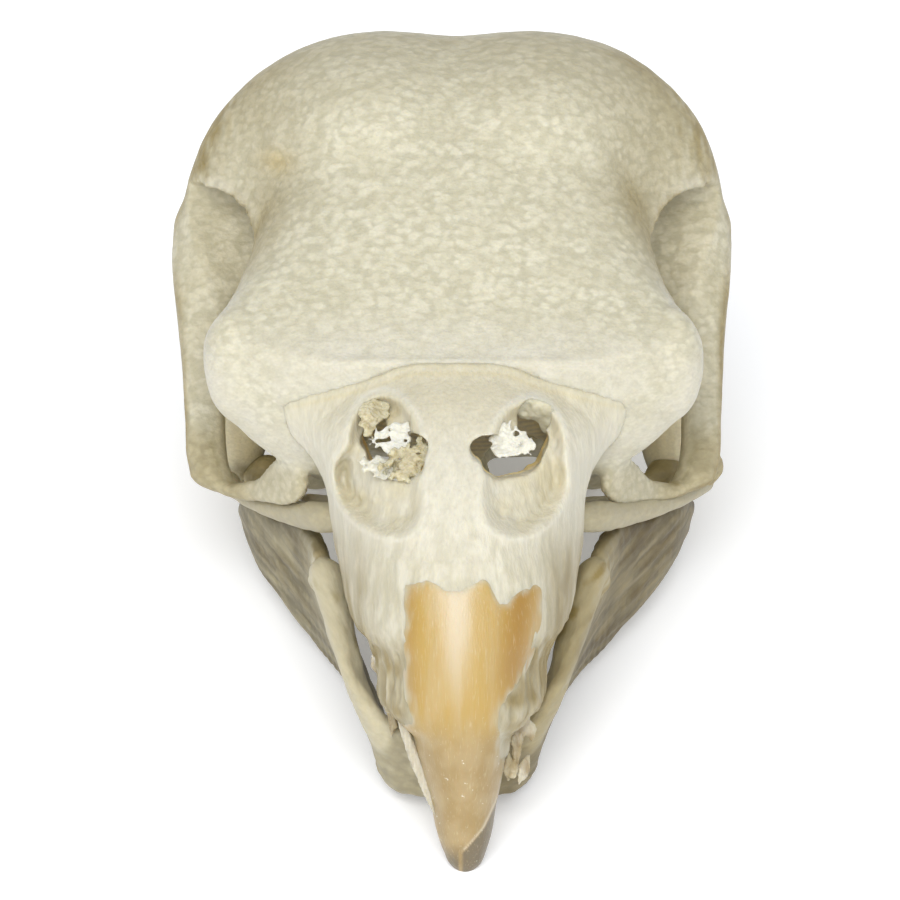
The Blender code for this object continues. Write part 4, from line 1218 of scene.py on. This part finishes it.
scrapGrain = {
    "cell": 0.04,
    "margin": 0.3,
    "behind": 0.5,
    "steepness": 0.85,
    "edgeRound": 0.06,
    "holeRound": 0.05,
    "holeSlope": 0.2,
    "flat": (1, 0.3, 1),
    "crumple": ((even, 0.35, 0.12), (even, 0.15, 0.06)),
    "thickness": (0.5, (even, 0.2, 0.3)),
    "torn": ((even, 0.22, 0.5), (even, 0.09, 0.7)),
    "holes": (even, 0.16, 1),
}


def makeScrap(name, scrap, look):
    spots = np.array([(*at, *radii) for at, radii in scrap["ovals"]])
    low = (spots[:, :2] - spots[:, 2:]).min(0) - scrapGrain["margin"]
    high = (spots[:, :2] + spots[:, 2:]).max(0) + scrapGrain["margin"]
    middle = (low + high) / 2
    tall = np.abs(scrap["slope"]) @ (high - low) / 2 + scrapGrain["behind"]
    near, far = scrap["depth"] - tall, scrap["depth"] + tall
    b = makeBlock((low[0], near, low[1]), (high[0], far, high[1]), scrapGrain["cell"])
    spot = np.stack(np.broadcast_arrays(b.x, b.y, b.z), -1)
    flat = spot * scrapGrain["flat"]
    sheet = scrap["depth"] + scrap["slope"][0] * (b.x - middle[0]) - scrap["slope"][1] * (b.z - middle[1])
    least, swing = scrapGrain["thickness"]
    thick = scrap["thick"] * (least + grained(spot, swing))
    plate = np.abs(b.y - sheet + grained(flat, *scrapGrain["crumple"])) * scrapGrain["steepness"] - thick
    edge = ovalsDistance(b.x, b.z, scrap["ovals"]) + scrap["torn"] * grained(flat, *scrapGrain["torn"])
    holes = (grained(flat + 3, scrapGrain["holes"]) - scrap["holes"]) * scrapGrain["holeSlope"]
    field = smoothHigh(plate, edge + 0 * b.y, scrapGrain["edgeRound"])
    field = smoothHigh(field, holes + 0 * b.y, scrapGrain["holeRound"])
    points, faces = skinned(field.astype(np.float32), b)[:2]
    masks = {"cream": np.full(len(points), scrap["cream"])}
    return makePiece(name, points, faces, look, scrap["nodes"], masks)


# slivers of broken horn and bone: strewn along a line, from and to, each with its own lean
slivers = {
    "edgeFragments": {"from": (2.3, -2.2, -8.0), "to": (1.62, -3.3, -11.2), "count": 13, "long": 0.95,
                      "wide": 0.2, "spread": 0.16, "seed": 3},
    "lobeFragments": {"from": (-2.2, -2.2, -8.0), "to": (-1.75, -2.6, -9.9), "count": 8, "long": 0.8,
                      "wide": 0.17, "spread": 0.1, "seed": 5},
}
sliver = {
    "cell": 0.05,
    "room": 0.8,
    "backing": ((0.07, 0.12), (0.07, 0.14)),      # the strip they sit on: thickness and width at each end
    "backingFaces": (0.5, 1, 0),
    "share": (0.08, 0.92),                        # how far along the line the first and last one are
    "lean": 0.32,
    "turn": (0.4, 0.3),
    "length": (0.6, 1.2),
    "width": (0.6, 1.3),
    "thick": 0.06,
    "end": (0.035, 0.05),
    "power": 2.6,
    "grain": ((even, 0.2, 0.02),),
    "cream": (0.5, (even, 0.3, 0.5)),
    "oliveAndPaintedShade": (0.5, (even, 0.4, -0.5)),
}
sheathFlake = (
    ((-1.66, -3.25, -9.1), 0.05, 0.1, (-0.5, -1, 0)),
    ((-1.42, -3.42, -9.9), 0.06, 0.17, (-0.5, -1, 0)),
    ((-1.14, -3.62, -10.7), 0.06, 0.18, (-0.5, -1, 0)),
    ((-0.84, -3.8, -11.5), 0.05, 0.14, (-0.5, -1, 0)),
    ((-0.56, -3.95, -12.2), 0.04, 0.07, (-0.5, -1, 0)),
)


def makeSlivers(name, told):
    start, end = np.array(told["from"]), np.array(told["to"])
    b = makeBlock(np.minimum(start, end) - sliver["room"], np.maximum(start, end) + sliver["room"],
                  sliver["cell"])
    field = emptyField(b)
    way = (end - start) / np.linalg.norm(end - start)
    strip = [(spot, *size, sliver["backingFaces"]) for spot, size in zip((start, end), sliver["backing"])]
    join(field, strap(b, strip), soft=0.05)
    chance = np.random.default_rng(told["seed"])
    sideTurn, upTurn = sliver["turn"]
    for share in np.linspace(*sliver["share"], told["count"]):
        middle = start + (end - start) * share + chance.normal(0, 1, 3) * told["spread"] * (1, 0.5, 1)
        lean = way + chance.normal(0, sliver["lean"], 3)
        reach = lean / np.linalg.norm(lean) * told["long"] / 2 * chance.uniform(*sliver["length"])
        up = (0.5 * np.sign(start[0]) + chance.normal(0, sideTurn), -1, chance.normal(0, upTurn))
        wide = told["wide"] * chance.uniform(*sliver["width"])
        first, last = [(spot, *sliver["end"], up) for spot in (middle - reach, middle + reach)]
        rows = [first, (middle, sliver["thick"], wide, up), last]
        join(field, strap(b, rows, power=sliver["power"], count=9), soft=0.04)
    points, faces, normals = skinned(field, b, rounds=1)
    points = points + normals * grained(points, *sliver["grain"])[:, None]
    masks = {}
    for word in ("cream", "oliveAndPaintedShade"):
        least, mottle = sliver[word]
        masks[word] = least + grained(points, mottle)
    makePiece(name, points, faces, flakyMaterial, [], masks)


def makeScraps():
    looks = {"flake": flakeMaterial, "tissue": tissueMaterial, "bone": boneMaterial}
    for name, told in slivers.items():
        makeSlivers(name, told)
    flakeShape = [lambda b, s: strap(b, sheathFlake, s, sliver["power"])]
    makeSlender("sheathFlake", flakeShape, slender["room"]["sheathFlake"], 1, flakyMaterial, "pale_bone", [],
                drift=False)
    for name, scrap in scraps.items():
        makeScrap(name, scrap, looks[scrap["look"]])


makeCranium()
makeBill()
makeSheath()
makeJaw()
makeSlenderBones()
makeScraps()
print("bones made")


# floor, light and camera: in metres, but for the camera's aim and distance, which are in the skull's
# own millimetres, and its lens and sensor
stage = {
    "floorColour": (0.9, 0.9, 0.9),
    "floorRoughness": 0.9,
    "floorGlow": 0.2,                  # the floor is a light table
    "glowColour": (0.97, 0.98, 1.0),
    "floorHalf": 3,
    "skyColour": (0.92, 0.945, 0.985),
    "sky": 0.70,
    "lamps": {
        "key": {"at": (-0.04, -0.30, 0.33), "size": 0.30, "power": 1.66},
        "fill": {"at": (0.22, -0.25, 0.16), "size": 0.25, "power": 0.07},
    },
    "lampAim": (0, 0, 0.006),
    "camera": {
        "rise": 8.0,            # degrees above the skull's own level
        "aim": (-0.15, 2.0, -2.56),
        "away": 230.0,
        "lens": 317.4,
        "sensor": 36,
        "nearest": 0.005,
    },
}


def makeFloor():
    mesh = bpy.data.meshes.new("floor")
    half = stage["floorHalf"]
    corners = [(-half, -half, 0), (half, -half, 0), (half, half, 0), (-half, half, 0)]
    mesh.from_pydata(corners, [], [(0, 1, 2, 3)])
    floor = bpy.data.objects.new("floor", mesh)
    bpy.context.scene.collection.objects.link(floor)
    paint = bpy.data.materials.new("floorPaper")
    paint.use_nodes = True
    shader = paint.node_tree.nodes["Principled BSDF"]
    shader.inputs["Base Color"].default_value = (*stage["floorColour"], 1)
    shader.inputs["Roughness"].default_value = stage["floorRoughness"]
    shader.inputs["Emission Color"].default_value = (*stage["glowColour"], 1)
    shader.inputs["Emission Strength"].default_value = stage["floorGlow"]
    floor.data.materials.append(paint)
    print("floor laid")


def makeSky():
    world = bpy.data.worlds.new("studio")
    bpy.context.scene.world = world
    world.use_nodes = True
    light = world.node_tree.nodes["Background"]
    light.inputs["Color"].default_value = (*stage["skyColour"], 1)
    light.inputs["Strength"].default_value = stage["sky"]


def addLamp(name, at, size, power):
    lamp = bpy.data.lights.new(name, "AREA")
    lamp.size = size
    lamp.energy = power
    thing = bpy.data.objects.new(name, lamp)
    thing.location = at
    thing.rotation_euler = (Vector(at) - Vector(stage["lampAim"])).to_track_quat("Z", "Y").to_euler()
    bpy.context.scene.collection.objects.link(thing)


def makeCamera():
    view = stage["camera"]
    rise = math.radians(view["rise"])
    away = np.array((0, -math.cos(rise), math.sin(rise)))
    place = (np.array(view["aim"]) + away * view["away"]) @ poseTurn.T + pose["place"]
    back = Vector(away @ poseTurn.T)
    lens = bpy.data.cameras.new("camera")
    lens.lens = view["lens"]
    lens.sensor_width = view["sensor"]
    lens.clip_start = view["nearest"]
    camera = bpy.data.objects.new("camera", lens)
    camera.location = Vector(place) * 0.001
    camera.rotation_euler = back.to_track_quat("Z", "Y").to_euler()
    bpy.context.scene.collection.objects.link(camera)
    bpy.context.scene.camera = camera


makeFloor()
makeSky()
for name, lamp in stage["lamps"].items():
    addLamp(name, **lamp)
makeCamera()
print("lamps and camera set")
bpy.context.scene.view_settings.view_transform = "Standard"
